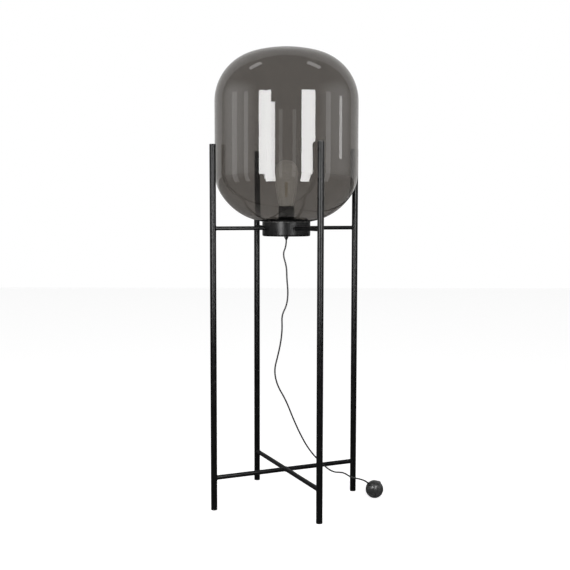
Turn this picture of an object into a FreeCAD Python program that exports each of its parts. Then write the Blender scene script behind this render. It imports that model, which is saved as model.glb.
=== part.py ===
import FreeCAD, Part
import math
import os
import re

import Sketcher

# Floor lamp: a smoked glass vessel that rests on a small dish, carried between four tall
# tube legs. Millimetres. The origin is on the floor under the middle of the lamp, +Z is up,
# and the legs stand at the corners of a square whose sides follow X and Y.

os.makedirs("parts", exist_ok=True)
doc = FreeCAD.newDocument("GlobeFloorLamp")

SIZES = {
    # frame
    "leg_spacing": 338.0,
    "leg_height": 1105.0,
    "leg_diameter": 19.0,
    "leg_wall": 1.5,
    "cap_height": 2.0,
    "cap_stem": 12.0,
    "cap_edge": 0.8,
    "glide_height": 4.0,
    "glide_stem": 15.0,
    "glide_edge": 1.6,
    "insert_gap": 0.1,
    "arm_diameter": 12.0,
    "arm_wall": 1.5,
    "arm_level": 856.0,
    "bar_diameter": 14.0,
    "bar_wall": 1.5,
    "bar_level": 99.0,
    "cope_gap": 0.1,
    # dish that carries the glass
    "dish_diameter": 148.0,
    "dish_height": 42.4,
    "dish_wall": 2.0,
    "dish_corner": 5.0,
    "dish_rim_edge": 0.6,
    "arm_drop": 25.0,
    "ring_thickness": 1.2,
    "ring_skirt": 8.0,
    "ring_wall": 2.8,
    "ring_gap": 0.15,
    "seat_gap": 0.3,
    # blown glass
    "glass_diameter": 438.0,
    "glass_height": 530.0,
    "glass_wall": 4.0,
    "foot_radius": 494.0,
    "flank_radius": 181.0,
    "hip_radius": 125.0,
    "hip_level": 154.3,
    "shoulder_radius": 152.0,
    "crown_radius": 391.0,
    "neck_diameter": 124.0,
    "neck_depth": 10.0,
    # lampholder and its nipple
    "nipple_diameter": 10.0,
    "nipple_bore": 7.2,
    "nipple_length": 35.0,
    "nipple_gap": 0.15,
    "nipple_drop": 5.0,
    "nut_flats": 14.0,
    "nut_height": 4.0,
    "washer_diameter": 19.0,
    "washer_thickness": 0.8,
    "gland_diameter": 13.0,
    "gland_length": 10.5,
    "gland_tip": 7.6,
    "holder_diameter": 48.8,
    "holder_wall": 1.6,
    "holder_mouth": 92.0,
    "holder_foot": 24.0,
    "holder_joint": 51.0,
    "holder_shoulder": 12.0,
    "joint_gap": 0.25,
    "insert_foot": 38.0,
    "insert_face": 58.0,
    "sleeve_lip": 3.0,
    "sleeve_wall": 1.8,
    "shell_bore": 27.4,
    "shell_wall": 0.5,
    "shell_length": 23.0,
    "terminal_spread": 12.0,
    "terminal_screw": 3.0,
    # bulb
    "bulb_diameter": 71.0,
    "bulb_length": 172.0,
    "bulb_wall": 0.9,
    "bulb_neck": 44.0,
    "bulb_taper": 410.0,
    "bulb_base_level": 25.0,
    "bulb_base_height": 8.5,
    "bulb_cap": 26.4,
    "cap_length": 21.0,
    "contact_gap": 0.3,
    "filament_length": 50.0,
    "filament_circle": 7.0,
    # supply cord
    "cord_diameter": 4.8,
    "cord_bore": 5.0,
    "swing_bearing": 20.9,
    # ball switch
    "ball_diameter": 56.0,
    "ball_wall": 2.2,
    "ball_tilt": 40.7,
    "ball_turn": 41.3,
    "ball_clear": 112.4,
    "ball_away": 24.1,
    "seam_gap": 0.2,
    "button_diameter": 23.0,
    "button_gap": 0.35,
    "button_flange": 27.0,
    "button_brim": 1.6,
    "pillar_offset": 16.5,
    "pillar_diameter": 5.0,
    "socket_diameter": 7.2,
    "screw_diameter": 2.5,
    "screw_head": 4.4,
    "screw_grip": 9.0,
    "module_width": 18.0,
    "module_depth": 16.0,
    "module_rise": 12.0,
    "plunger_rise": 5.0,
    "bushing_diameter": 8.4,
    "bushing_tip": 6.6,
    "bushing_reach": 2.5,
    # hank of spare lead
    "hank_run": 72.0,
    "hank_inner": 14.4,
    "hank_step": 5.6,
    "hank_draw": 5.0,
    "hank_level": 3.4,
    "hank_lift": 5.3,
    "hank_turn": -5.0,
    "hank_beyond": 26.6,
    "hank_away": 68.5,
    "tie_width": 6.0,
    "tie_thickness": 0.7,
    "tie_gap": 0.3,
    # mains plug
    "plug_width": 35.0,
    "plug_thickness": 14.0,
    "plug_length": 26.0,
    "plug_shoulder": 15.0,
    "plug_relief": 13.0,
    "pin_diameter": 4.0,
    "pin_length": 19.0,
    "pin_spacing": 18.6,
    "pin_seat": 6.0,
}

sheet = doc.addObject("Spreadsheet::Sheet", "Sizes")
for row, (name, value) in enumerate(SIZES.items(), start=1):
    sheet.set(f"A{row}", name)
    sheet.set(f"B{row}", str(value))
    sheet.setAlias(f"B{row}", name)
doc.recompute()

nodes = []


def sized(text):
    """The expression text with each size's name written as a cell of the sheet."""
    return re.sub(r"[a-z_]+", lambda word: f"Sizes.{word[0]}" if word[0] in SIZES else word[0], text)


def value_of(owner, text):
    """The number that an expression has now."""
    return float(owner.evalExpression(sized(text)))


def size(name):
    """One size, read from the sheet."""
    return float(sheet.get(name))


def keep(item, label):
    """Name a finished sub-part and list it for export."""
    item.Label = label
    nodes.append(item)
    return item


def place(item, across="0", along="0", up="0", turn=0.0):
    """Stand an object at a bound position, turned about the vertical."""
    item.Placement = FreeCAD.Placement(FreeCAD.Vector(), FreeCAD.Rotation(FreeCAD.Vector(0, 0, 1), turn))
    for axis, text in zip("xyz", (across, along, up)):
        item.setExpression(f".Placement.Base.{axis}", sized(text))


# ---------------------------------------------------------------- sketches and bodies


def new_body(name):
    return doc.addObject("PartDesign::Body", name)


def new_sketch(body, role, offset=None):
    """A sketch on one of the body's own origin planes, lifted off it by a bound offset."""
    plane = [item for item in body.Origin.OriginFeatures if item.Role == role][0]
    sketch = body.newObject("Sketcher::SketchObject", body.Name + "Sketch")
    sketch.AttachmentSupport = [(plane, "")]
    sketch.MapMode = "FlatFace"
    if offset:
        sketch.setExpression(".AttachmentOffset.Base.z", sized(offset))
    return sketch


def bind_distance(sketch, kind, geometry, point, text):
    """Hold one point of a sketch at a bound distance from the origin along one axis."""
    value = value_of(sketch, text)
    index = sketch.addConstraint(Sketcher.Constraint(kind, -1, 1, geometry, point, value))
    sketch.setExpression(f"Constraints[{index}]", sized(text))


def pin_down(sketch, geometry, point, across, along):
    """Fix one point of a sketch at two bound distances from the origin."""
    for kind, axis, text in (("DistanceX", -2, across), ("DistanceY", -1, along)):
        if text == "0":
            sketch.addConstraint(Sketcher.Constraint("PointOnObject", geometry, point, axis))
            continue
        bind_distance(sketch, kind, geometry, point, text)


def bind_radius(sketch, geometry, text):
    index = sketch.addConstraint(Sketcher.Constraint("Radius", geometry, value_of(sketch, text)))
    sketch.setExpression(f"Constraints[{index}]", sized(text))


def add_circle(sketch, radius, across="0", along="0"):
    """A circle of a bound radius at a bound centre."""
    centre = FreeCAD.Vector(value_of(sketch, across), value_of(sketch, along), 0)
    circle = Part.Circle(centre, FreeCAD.Vector(0, 0, 1), value_of(sketch, radius))
    index = sketch.addGeometry(circle, False)
    pin_down(sketch, index, 3, across, along)
    bind_radius(sketch, index, radius)


def bulged(start, end, radius, side):
    """The short arc between two points, counter-clockwise.

    Seen along the way from start to end it bows to the left when side is 1 and to the
    right when side is -1, and on the left it runs from end to start.
    """
    chord = end - start
    left = FreeCAD.Vector(-chord.y, chord.x, 0).normalize()
    half = chord.Length / 2
    rise = radius - math.sqrt(max(radius ** 2 - half ** 2, 0.0))
    middle = (start + end) * 0.5 + left * (side * rise)
    return Part.Arc(start, middle, end) if side < 0 else Part.Arc(end, middle, start)


def add_outline(sketch, corners, arcs=None):
    """A closed outline through bound corners; arcs maps an edge to its bound radius and side."""
    arcs = arcs or {}
    points = [FreeCAD.Vector(value_of(sketch, x), value_of(sketch, y), 0) for x, y in corners]
    first = sketch.GeometryCount
    count = len(points)
    ends = {}
    for edge in range(count):
        start, end = points[edge], points[(edge + 1) % count]
        if edge in arcs:
            radius, side = arcs[edge]
            arc = bulged(start, end, value_of(sketch, radius), side)
            index = sketch.addGeometry(arc, False)
            ends[edge] = (1, 2) if side < 0 else (2, 1)
            bind_radius(sketch, index, radius)
        else:
            sketch.addGeometry(Part.LineSegment(start, end), False)
            ends[edge] = (1, 2)
    for edge in range(count):
        after = (edge + 1) % count
        sketch.addConstraint(Sketcher.Constraint(
            "Coincident", first + edge, ends[edge][1], first + after, ends[after][0]))
        pin_down(sketch, first + edge, ends[edge][0], *corners[edge])


def feature(body, kind, sketch, name, **settings):
    item = body.newObject(f"PartDesign::{kind}", body.Name + name)
    item.Profile = sketch
    for key, setting in settings.items():
        if isinstance(setting, str) and key in ("Length", "Length2"):
            item.setExpression(key, sized(setting))
        else:
            setattr(item, key, setting)
    return item


def turned(name, corners, arcs=None):
    """A body turned about its own Z from an outline of radius and height."""
    body = new_body(name)
    sketch = new_sketch(body, "XZ_Plane")
    add_outline(sketch, corners, arcs)
    feature(body, "Revolution", sketch, "Turn", ReferenceAxis=(sketch, ["V_Axis"]), Angle=360)
    return body


def padded(body, role, length, circles, offset=None, symmetric=False, name="Pad"):
    """Pad concentric or separate circles, each given as radius and centre."""
    sketch = new_sketch(body, role, offset)
    for circle in circles:
        add_circle(sketch, *circle)
    side = "Symmetric" if symmetric else "One side"
    return feature(body, "Pad", sketch, name, Length=length, SideType=side)


def drilled(body, role, circles, name="Cut", offset=None):
    """Cut circles right through the body, both ways from the sketch."""
    sketch = new_sketch(body, role, offset)
    for circle in circles:
        add_circle(sketch, *circle)
    return feature(body, "Pocket", sketch, name, Type="ThroughAll", SideType="Symmetric")


# ---------------------------------------------------------------- the tube frame

# Four round legs stand at the corners of the square. A short arm runs in from each leg to
# the dish, and two bars cross low down. The bars' ends are coped to the legs they are
# welded to, and the bar that runs front right to rear left is in two halves, coped to
# the other bar where they cross.

LEG_REACH = "leg_spacing / sqrt(2)"
CORNERS = (
    ("front_right", "leg_spacing / 2", "-leg_spacing / 2", -45.0),
    ("rear_right", "leg_spacing / 2", "leg_spacing / 2", 45.0),
    ("rear_left", "-leg_spacing / 2", "leg_spacing / 2", 135.0),
    ("front_left", "-leg_spacing / 2", "-leg_spacing / 2", 225.0),
)


def make_leg(corner, across, along):
    body = new_body("leg_" + corner)
    ring = [("leg_diameter / 2",), ("leg_diameter / 2 - leg_wall",)]
    padded(body, "XY_Plane", "leg_height - cap_height - glide_height", ring)
    place(body, across, along, "glide_height")
    keep(body, "leg_" + corner)


def make_leg_cap(corner, across, along):
    stem = "leg_diameter / 2 - leg_wall - insert_gap"
    corners = [
        ("0", "-cap_stem"),
        (stem + " - cap_edge", "-cap_stem"),
        (stem, "-cap_stem + cap_edge"),
        (stem, "0"),
        ("leg_diameter / 2", "0"),
        ("leg_diameter / 2", "cap_height - cap_edge"),
        ("leg_diameter / 2 - cap_edge", "cap_height"),
        ("0", "cap_height"),
    ]
    body = turned("leg_cap_" + corner, corners, {5: ("cap_edge", -1)})
    place(body, across, along, "leg_height - cap_height")
    keep(body, "leg_cap_" + corner)


def make_foot_glide(corner, across, along):
    stem = "leg_diameter / 2 - leg_wall - insert_gap"
    hollow = "leg_diameter / 4"
    corners = [
        ("0", "0"),
        ("leg_diameter / 2 - glide_edge", "0"),
        ("leg_diameter / 2", "glide_edge"),
        ("leg_diameter / 2", "glide_height"),
        (stem, "glide_height"),
        (stem, "glide_height + glide_stem"),
        (hollow, "glide_height + glide_stem"),
        (hollow, "glide_height"),
        ("0", "glide_height"),
    ]
    body = turned("foot_glide_" + corner, corners, {1: ("glide_edge", -1)})
    place(body, across, along)
    keep(body, "foot_glide_" + corner)


def make_arm(corner, turn):
    body = new_body("arm_" + corner)
    ring = [("arm_diameter / 2",), ("arm_diameter / 2 - arm_wall",)]
    inner_end = "dish_diameter / 2 - dish_wall"
    padded(body, "YZ_Plane", f"{LEG_REACH} - ({inner_end})", ring, offset=inner_end)
    drilled(body, "XY_Plane", [("dish_diameter / 2 + cope_gap",)], "DishCope")
    drilled(body, "XY_Plane", [("leg_diameter / 2 + cope_gap", LEG_REACH)], "LegCope")
    place(body, up="arm_level", turn=turn)
    keep(body, "arm_" + corner)


def make_cross_bar():
    body = new_body("cross_bar")
    ring = [("bar_diameter / 2",), ("bar_diameter / 2 - bar_wall",)]
    padded(body, "YZ_Plane", f"2 * {LEG_REACH}", ring, symmetric=True)
    cope = "leg_diameter / 2 + cope_gap"
    drilled(body, "XY_Plane", [(cope, LEG_REACH), (cope, "-" + LEG_REACH)], "LegCopes")
    place(body, up="bar_level", turn=45.0)
    keep(body, "cross_bar")


def make_half_bar(name, turn):
    body = new_body(name)
    ring = [("bar_diameter / 2",), ("bar_diameter / 2 - bar_wall",)]
    padded(body, "YZ_Plane", LEG_REACH, ring)
    drilled(body, "XZ_Plane", [("bar_diameter / 2 + cope_gap",)], "BarCope")
    drilled(body, "XY_Plane", [("leg_diameter / 2 + cope_gap", LEG_REACH)], "LegCope")
    place(body, up="bar_level", turn=turn)
    keep(body, name)


for corner, across, along, turn in CORNERS:
    make_leg(corner, across, along)
    make_leg_cap(corner, across, along)
    make_foot_glide(corner, across, along)
    make_arm(corner, turn)
make_cross_bar()
make_half_bar("half_bar_front", -45.0)
make_half_bar("half_bar_rear", 135.0)

# ---------------------------------------------------------------- the dish and its seat

DISH_FLOOR = "arm_level - arm_drop"
RIM_LEVEL = f"{DISH_FLOOR} + dish_height"
SEAT_RADIUS = "(dish_diameter / 2 - dish_wall - ring_gap - ring_wall)"
SEAT_SAG = f"(foot_radius - sqrt(foot_radius ^ 2 - {SEAT_RADIUS} ^ 2))"
GLASS_POLE = f"{RIM_LEVEL} + ring_thickness + seat_gap - {SEAT_SAG}"


def make_dish():
    """The spun steel dish: flat floor, rounded corner, straight wall with a softened rim."""
    outer = "dish_diameter / 2"
    inner = "dish_diameter / 2 - dish_wall"
    hole = "nipple_diameter / 2 + nipple_gap"
    corners = [
        (hole, "0"),
        (outer + " - dish_corner", "0"),
        (outer, "dish_corner"),
        (outer, "dish_height - dish_rim_edge"),
        (outer + " - dish_rim_edge", "dish_height"),
        (inner, "dish_height"),
        (inner, "dish_corner"),
        (outer + " - dish_corner", "dish_wall"),
        (hole, "dish_wall"),
    ]
    arcs = {
        1: ("dish_corner", -1),
        3: ("dish_rim_edge", -1),
        6: ("dish_corner - dish_wall", 1),
    }
    body = turned("dish", corners, arcs)
    place(body, up=DISH_FLOOR)
    keep(body, "dish")


def make_seat_ring():
    """The soft ring over the dish's rim, dished on top to the curve of the glass."""
    inner = SEAT_RADIUS
    skirt = f"{SEAT_RADIUS} + ring_wall"
    outer = "dish_diameter / 2"
    rise = f"foot_radius - sqrt(foot_radius ^ 2 - ({outer}) ^ 2) - {SEAT_SAG}"
    corners = [
        (inner, "-ring_skirt"),
        (skirt, "-ring_skirt"),
        (skirt, "0"),
        (outer, "0"),
        (outer, f"ring_thickness + {rise}"),
        (inner, "ring_thickness"),
    ]
    body = turned("seat_ring", corners, {4: ("foot_radius + seat_gap", -1)})
    place(body, up=RIM_LEVEL)
    keep(body, "seat_ring")


make_dish()
make_seat_ring()

# ---------------------------------------------------------------- the blown glass vessel


def meeting(first, first_reach, second, second_reach):
    """Where two circles cross, on the right of the line from first to second."""
    line = second - first
    gap = line.Length
    along = (gap ** 2 + first_reach ** 2 - second_reach ** 2) / (2 * gap)
    off = math.sqrt(first_reach ** 2 - along ** 2)
    ahead = line * (1 / gap)
    return first + ahead * along + FreeCAD.Vector(ahead.y, -ahead.x, 0) * off


def arc_between(centre, radius, start_angle, end_angle):
    """An arc of a circle from one angle to another, counter-clockwise, in degrees."""
    circle = Part.Circle(centre, FreeCAD.Vector(0, 0, 1), radius)
    return Part.ArcOfCircle(circle, math.radians(start_angle), math.radians(end_angle))


def heading(start, end):
    return math.degrees(math.atan2(end.y - start.y, end.x - start.x))


def glass_centres():
    """Centres of the five arcs of the glass's outline, from the foot up to the crown."""
    half = size("glass_diameter") / 2
    foot = FreeCAD.Vector(0, size("foot_radius"), 0)
    hip = FreeCAD.Vector(half - size("hip_radius"), size("hip_level"), 0)
    flank = meeting(foot, size("foot_radius") - size("flank_radius"),
                    hip, size("flank_radius") - size("hip_radius"))
    crown = FreeCAD.Vector(0, size("glass_height") - size("crown_radius"), 0)
    inset = half - size("shoulder_radius")
    reach = size("crown_radius") - size("shoulder_radius")
    shoulder = FreeCAD.Vector(inset, crown.y + math.sqrt(reach ** 2 - inset ** 2), 0)
    return foot, flank, hip, shoulder, crown


def add_skin(sketch, inset):
    """One skin of the glass: a chain of tangent arcs from the neck to the crown.

    The inset is how far the skin lies inside the outer one. Returns the sketch's numbers of
    the neck line and of the crown's arc.
    """
    depth = value_of(sketch, inset)
    neck = f"neck_diameter / 2 - {inset}"
    foot, flank, hip, shoulder, crown = glass_centres()
    names = ("foot_radius", "flank_radius", "hip_radius", "shoulder_radius", "crown_radius")
    radii = [size(name) - depth for name in names]
    angles = [
        (foot, radii[0], -math.degrees(math.acos(value_of(sketch, neck) / radii[0])),
         heading(foot, flank)),
        (flank, radii[1], heading(foot, flank), heading(flank, hip)),
        (hip, radii[2], heading(flank, hip), 0.0),
        (shoulder, radii[3], 0.0, heading(crown, shoulder)),
        (crown, radii[4], heading(crown, shoulder), 90.0),
    ]
    arcs = [sketch.addGeometry(arc_between(*angle), False) for angle in angles]
    points = sketch.Geometry
    mouth = FreeCAD.Vector(value_of(sketch, neck), -size("neck_depth"), 0)
    neck_line = sketch.addGeometry(Part.LineSegment(mouth, points[arcs[0]].StartPoint), False)
    belt = sketch.addGeometry(
        Part.LineSegment(points[arcs[2]].EndPoint, points[arcs[3]].StartPoint), False)
    sketch.addConstraint([
        Sketcher.Constraint("Coincident", neck_line, 2, arcs[0], 1),
        Sketcher.Constraint("Vertical", neck_line),
        Sketcher.Constraint("Tangent", arcs[0], 2, arcs[1], 1),
        Sketcher.Constraint("Tangent", arcs[1], 2, arcs[2], 1),
        Sketcher.Constraint("Tangent", arcs[2], 2, belt, 1),
        Sketcher.Constraint("Vertical", belt),
        Sketcher.Constraint("Tangent", belt, 2, arcs[3], 1),
        Sketcher.Constraint("Tangent", arcs[3], 2, arcs[4], 1),
        Sketcher.Constraint("PointOnObject", arcs[4], 3, -2),
    ])
    for arc, name in zip(arcs, names):
        bind_radius(sketch, arc, f"{name} - {inset}")
    pin_down(sketch, arcs[0], 3, "0", "foot_radius")
    pin_down(sketch, neck_line, 1, neck, "-neck_depth")
    pin_down(sketch, arcs[4], 2, "0", f"glass_height - {inset}")
    bind_distance(sketch, "DistanceY", arcs[2], 3, "hip_level")
    bind_distance(sketch, "DistanceX", belt, 1, f"glass_diameter / 2 - {inset}")
    return neck_line, arcs[4]


def make_glass_shade():
    """The vessel: foot, flank and hip arcs below a straight belt, shoulder and crown above.

    The inner skin lies one wall inside the outer skin all over. A short neck drops into
    the dish.
    """
    body = new_body("glass_shade")
    sketch = new_sketch(body, "XZ_Plane")
    outer_neck, outer_crown = add_skin(sketch, "0")
    inner_neck, inner_crown = add_skin(sketch, "glass_wall")
    points = sketch.Geometry
    bridges = (
        (outer_crown, 2, inner_crown, 2, points[outer_crown].EndPoint, points[inner_crown].EndPoint),
        (outer_neck, 1, inner_neck, 1, points[outer_neck].StartPoint, points[inner_neck].StartPoint),
    )
    for first, first_end, second, second_end, start, end in bridges:
        bridge = sketch.addGeometry(Part.LineSegment(start, end), False)
        sketch.addConstraint([
            Sketcher.Constraint("Coincident", bridge, 1, first, first_end),
            Sketcher.Constraint("Coincident", bridge, 2, second, second_end),
        ])
    feature(body, "Revolution", sketch, "Blow", ReferenceAxis=(sketch, ["V_Axis"]), Angle=360)
    place(body, up=GLASS_POLE)
    keep(body, "glass_shade")


make_glass_shade()

# ---------------------------------------------------------------- the nipple stack

# A threaded nipple goes through the dish's floor. The gland screws on below it, a washer and
# a nut hold it from above, and a second nut locks the lampholder on its upper end.

NIPPLE_FOOT = f"{DISH_FLOOR} - nipple_drop"


def make_nipple():
    body = new_body("nipple")
    padded(body, "XY_Plane", "nipple_length", [("nipple_diameter / 2",), ("nipple_bore / 2",)])
    place(body, up=NIPPLE_FOOT)
    keep(body, "nipple")


def make_lock_washer():
    body = new_body("lock_washer")
    padded(body, "XY_Plane", "washer_thickness",
           [("washer_diameter / 2",), ("nipple_diameter / 2 + nipple_gap",)])
    place(body, up=f"{DISH_FLOOR} + dish_wall")
    keep(body, "lock_washer")


def make_nut(name, level):
    """A hexagon nut: its corners are trimmed by a coaxial cone-edged round."""
    blank = doc.addObject("Part::Prism", name + "_blank")
    blank.Polygon = 6
    blank.setExpression("Circumradius", sized("nut_flats / sqrt(3)"))
    blank.setExpression("Height", sized("nut_height"))
    hole = doc.addObject("Part::Cylinder", name + "_hole")
    hole.setExpression("Radius", sized("nipple_diameter / 2 + nipple_gap"))
    hole.setExpression("Height", sized("nut_height"))
    nut = doc.addObject("Part::Cut", name)
    nut.Base = blank
    nut.Tool = hole
    place(nut, up=level)
    keep(nut, name)


def make_cord_gland():
    """The cord's grip under the dish: a knurled top on the nipple, tapering to the cord."""
    corners = [
        ("cord_bore / 2", "-gland_length"),
        ("gland_tip / 2", "-gland_length"),
        ("gland_diameter / 2", "-nipple_drop + 1"),
        ("gland_diameter / 2", "0"),
        ("nipple_diameter / 2 + nipple_gap", "0"),
        ("nipple_diameter / 2 + nipple_gap", "-nipple_drop - 0.2"),
        ("cord_bore / 2", "-nipple_drop - 0.2"),
    ]
    body = turned("cord_gland", corners)
    place(body, up=DISH_FLOOR)
    keep(body, "cord_gland")


make_nipple()
make_lock_washer()
make_nut("dish_nut", f"{DISH_FLOOR} + dish_wall + washer_thickness")
make_nut("holder_nut", f"{DISH_FLOOR} + holder_foot - nut_height")
make_cord_gland()

# ---------------------------------------------------------------- the lampholder

# Heights in the lampholder are measured from the underside of the dish.

HOLDER_INSIDE = "holder_diameter / 2 - holder_wall"
SHELL_OUTSIDE = "(shell_bore / 2 + shell_wall)"
SLEEVE_BORE = f"({SHELL_OUTSIDE} + joint_gap)"


def make_holder_base():
    """The domed lower half, with a threaded boss on the nipple."""
    boss = "nipple_diameter / 2 + nipple_gap"
    corners = [
        (boss, "holder_foot"),
        ("holder_diameter / 2 - holder_shoulder", "holder_foot"),
        ("holder_diameter / 2", "holder_foot + holder_shoulder"),
        ("holder_diameter / 2", "holder_joint"),
        (HOLDER_INSIDE, "holder_joint"),
        (HOLDER_INSIDE, "holder_foot + holder_shoulder"),
        ("holder_diameter / 2 - holder_shoulder", "holder_foot + holder_wall"),
        (boss + " + 2", "holder_foot + holder_wall"),
        (boss + " + 2", "holder_foot + 7"),
        (boss, "holder_foot + 7"),
    ]
    arcs = {1: ("holder_shoulder", -1), 5: ("holder_shoulder - holder_wall", 1)}
    body = turned("holder_base", corners, arcs)
    place(body, up=DISH_FLOOR)
    keep(body, "holder_base")


def make_holder_skirt():
    """The upper half: a plain cup with a stepped lower edge that spigots into the base."""
    spigot = f"{HOLDER_INSIDE} - joint_gap"
    corners = [
        ("holder_diameter / 2", "holder_joint + joint_gap"),
        ("holder_diameter / 2", "holder_mouth - 1"),
        ("holder_diameter / 2 - 0.8", "holder_mouth"),
        (HOLDER_INSIDE, "holder_mouth"),
        (HOLDER_INSIDE, "holder_joint + 6"),
        (f"{spigot} - holder_wall", "holder_joint + 4"),
        (f"{spigot} - holder_wall", "holder_joint - 5"),
        (spigot, "holder_joint - 5"),
        (spigot, "holder_joint + joint_gap"),
    ]
    body = turned("holder_skirt", corners)
    place(body, up=DISH_FLOOR)
    keep(body, "holder_skirt")


def make_holder_insert():
    """The insulating core: a drilled block with a thin sleeve round the screw shell."""
    rim = f"{HOLDER_INSIDE} - holder_wall - 2 * joint_gap"
    sleeve = f"{SLEEVE_BORE} + sleeve_wall"
    corners = [
        ("0", "insert_foot"),
        (rim, "insert_foot"),
        (rim, "insert_face"),
        (sleeve, "insert_face"),
        (sleeve, "insert_face + shell_length + sleeve_lip"),
        (SLEEVE_BORE, "insert_face + shell_length + sleeve_lip"),
        (SLEEVE_BORE, "insert_face"),
        ("0", "insert_face"),
    ]
    body = turned("holder_insert", corners)
    holes = [("terminal_screw / 2 + 0.1", "terminal_spread"),
             ("terminal_screw / 2 + 0.1", "-terminal_spread")]
    sketch = new_sketch(body, "XY_Plane", "insert_foot")
    for circle in holes:
        add_circle(sketch, *circle)
    feature(body, "Pocket", sketch, "Holes", Length="12", Reversed=True)
    place(body, up=DISH_FLOOR)
    keep(body, "holder_insert")


def make_screw_shell():
    """The thin brass shell that takes the bulb's cap, with a turned-in foot."""
    corners = [
        ("shell_bore / 2 - 3", "0"),
        (SHELL_OUTSIDE, "0"),
        (SHELL_OUTSIDE, "shell_length"),
        ("shell_bore / 2", "shell_length"),
        ("shell_bore / 2", "shell_wall"),
        ("shell_bore / 2 - 3", "shell_wall"),
    ]
    body = turned("screw_shell", corners)
    place(body, up=f"{DISH_FLOOR} + insert_face")
    keep(body, "screw_shell")


def make_centre_contact():
    """The sprung tongue under the bulb: a strip bent up in the middle."""
    body = new_body("centre_contact")
    sketch = new_sketch(body, "XZ_Plane")
    top = "2.7"
    corners = [
        ("-8", "0"),
        ("-5", "0"),
        ("-2", top + " - 0.6"),
        ("2", top + " - 0.6"),
        ("4", top + " - 1.4"),
        ("4.4", top + " - 0.9"),
        ("2.3", top),
        ("-2.4", top),
        ("-5.3", "0.6"),
        ("-8", "0.6"),
    ]
    add_outline(sketch, corners)
    feature(body, "Pad", sketch, "Strip", Length="6", SideType="Symmetric")
    place(body, up=f"{DISH_FLOOR} + insert_face")
    keep(body, "centre_contact")


def make_terminal_screws():
    """Two cheese-head screws in the underside of the insert."""
    pair = []
    for name, side in (("left", "-"), ("right", "")):
        corners = [
            ("0", "-2"),
            ("terminal_screw * 0.9", "-2"),
            ("terminal_screw * 0.9", "0"),
            ("terminal_screw / 2", "0"),
            ("terminal_screw / 2", "10"),
            ("0", "10"),
        ]
        body = turned("terminal_screw_" + name, corners)
        place(body, across=side + "terminal_spread", up=f"{DISH_FLOOR} + insert_foot")
        pair.append(body)
    group = doc.addObject("Part::Compound", "terminal_screws")
    group.Links = pair
    keep(group, "terminal_screws")


make_holder_base()
make_holder_skirt()
make_holder_insert()
make_screw_shell()
make_centre_contact()
make_terminal_screws()

# ---------------------------------------------------------------- the bulb

BULB_FOOT = f"{DISH_FLOOR} + insert_face + 2.7 + contact_gap"
BULB_BELLY = "(bulb_length - bulb_diameter / 2)"


def make_bulb_envelope():
    """The pear-shaped envelope: a domed top, a long taper and a base drawn in to the cap."""
    body = new_body("bulb_envelope")
    sketch = new_sketch(body, "XZ_Plane")
    collar = "bulb_cap / 2 - 1"
    waist = "bulb_neck / 2"
    waist_level = "bulb_base_level + bulb_base_height"
    corners = [
        (collar, "bulb_base_level"),
        (waist, waist_level),
        ("bulb_diameter / 2", BULB_BELLY),
        ("0", "bulb_length"),
        ("0", "bulb_length - bulb_wall"),
        ("bulb_diameter / 2 - bulb_wall", BULB_BELLY),
        (f"{waist} - bulb_wall", f"{waist_level} + bulb_wall / 2"),
        (collar + " - bulb_wall", "bulb_base_level + bulb_wall / 2"),
    ]
    arcs = {
        0: ("bulb_base_height * 1.25", -1),
        1: ("bulb_taper", -1),
        2: ("bulb_diameter / 2", -1),
        4: ("bulb_diameter / 2 - bulb_wall", 1),
        5: ("bulb_taper", 1),
        6: ("bulb_base_height * 1.15", 1),
    }
    add_outline(sketch, corners, arcs)
    feature(body, "Revolution", sketch, "Blow", ReferenceAxis=(sketch, ["V_Axis"]), Angle=360)
    place(body, up=BULB_FOOT)
    keep(body, "bulb_envelope")


def make_bulb_cap():
    """The cap: a brass cup that the envelope is cemented into."""
    corners = [
        ("bulb_cap / 2 - 5", "4"),
        ("bulb_cap / 2 - 1", "5"),
        ("bulb_cap / 2", "7"),
        ("bulb_cap / 2", "4 + cap_length"),
        ("bulb_cap / 2 - 0.6", "4 + cap_length"),
        ("bulb_cap / 2 - 0.6", "7"),
        ("bulb_cap / 2 - 5", "4.8"),
    ]
    body = turned("bulb_cap", corners)
    place(body, up=BULB_FOOT)
    keep(body, "bulb_cap")


def make_bulb_contact():
    """The dark insulator under the cap and the round contact in its middle."""
    corners = [
        ("0", "0"),
        ("3.4", "0.6"),
        ("4.4", "1.8"),
        ("bulb_cap / 2 - 5", "4"),
        ("bulb_cap / 2 - 5", "4.8"),
        ("0", "4.8"),
    ]
    body = turned("bulb_contact", corners)
    place(body, up=BULB_FOOT)
    keep(body, "bulb_contact")


def make_bulb_stem():
    """The glass stem that carries the filaments, flared where it joins the envelope."""
    flare = "bulb_cap / 2 - 2.4"
    rod_foot = "bulb_base_level + bulb_base_height + 14"
    rod_top = "bulb_length - 66 - filament_length"
    corners = [
        ("0", "bulb_base_level + 1"),
        (flare, "bulb_base_level + 1"),
        ("5", "bulb_base_level + bulb_base_height"),
        ("4", rod_foot),
        ("2", rod_foot + " + 6"),
        ("2", rod_top),
        ("filament_circle / 2 + 1", rod_top),
        ("filament_circle / 2 + 1", rod_top + " + 1"),
        ("0", rod_top + " + 1"),
    ]
    body = turned("bulb_stem", corners)
    place(body, up=BULB_FOOT)
    keep(body, "bulb_stem")


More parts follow.
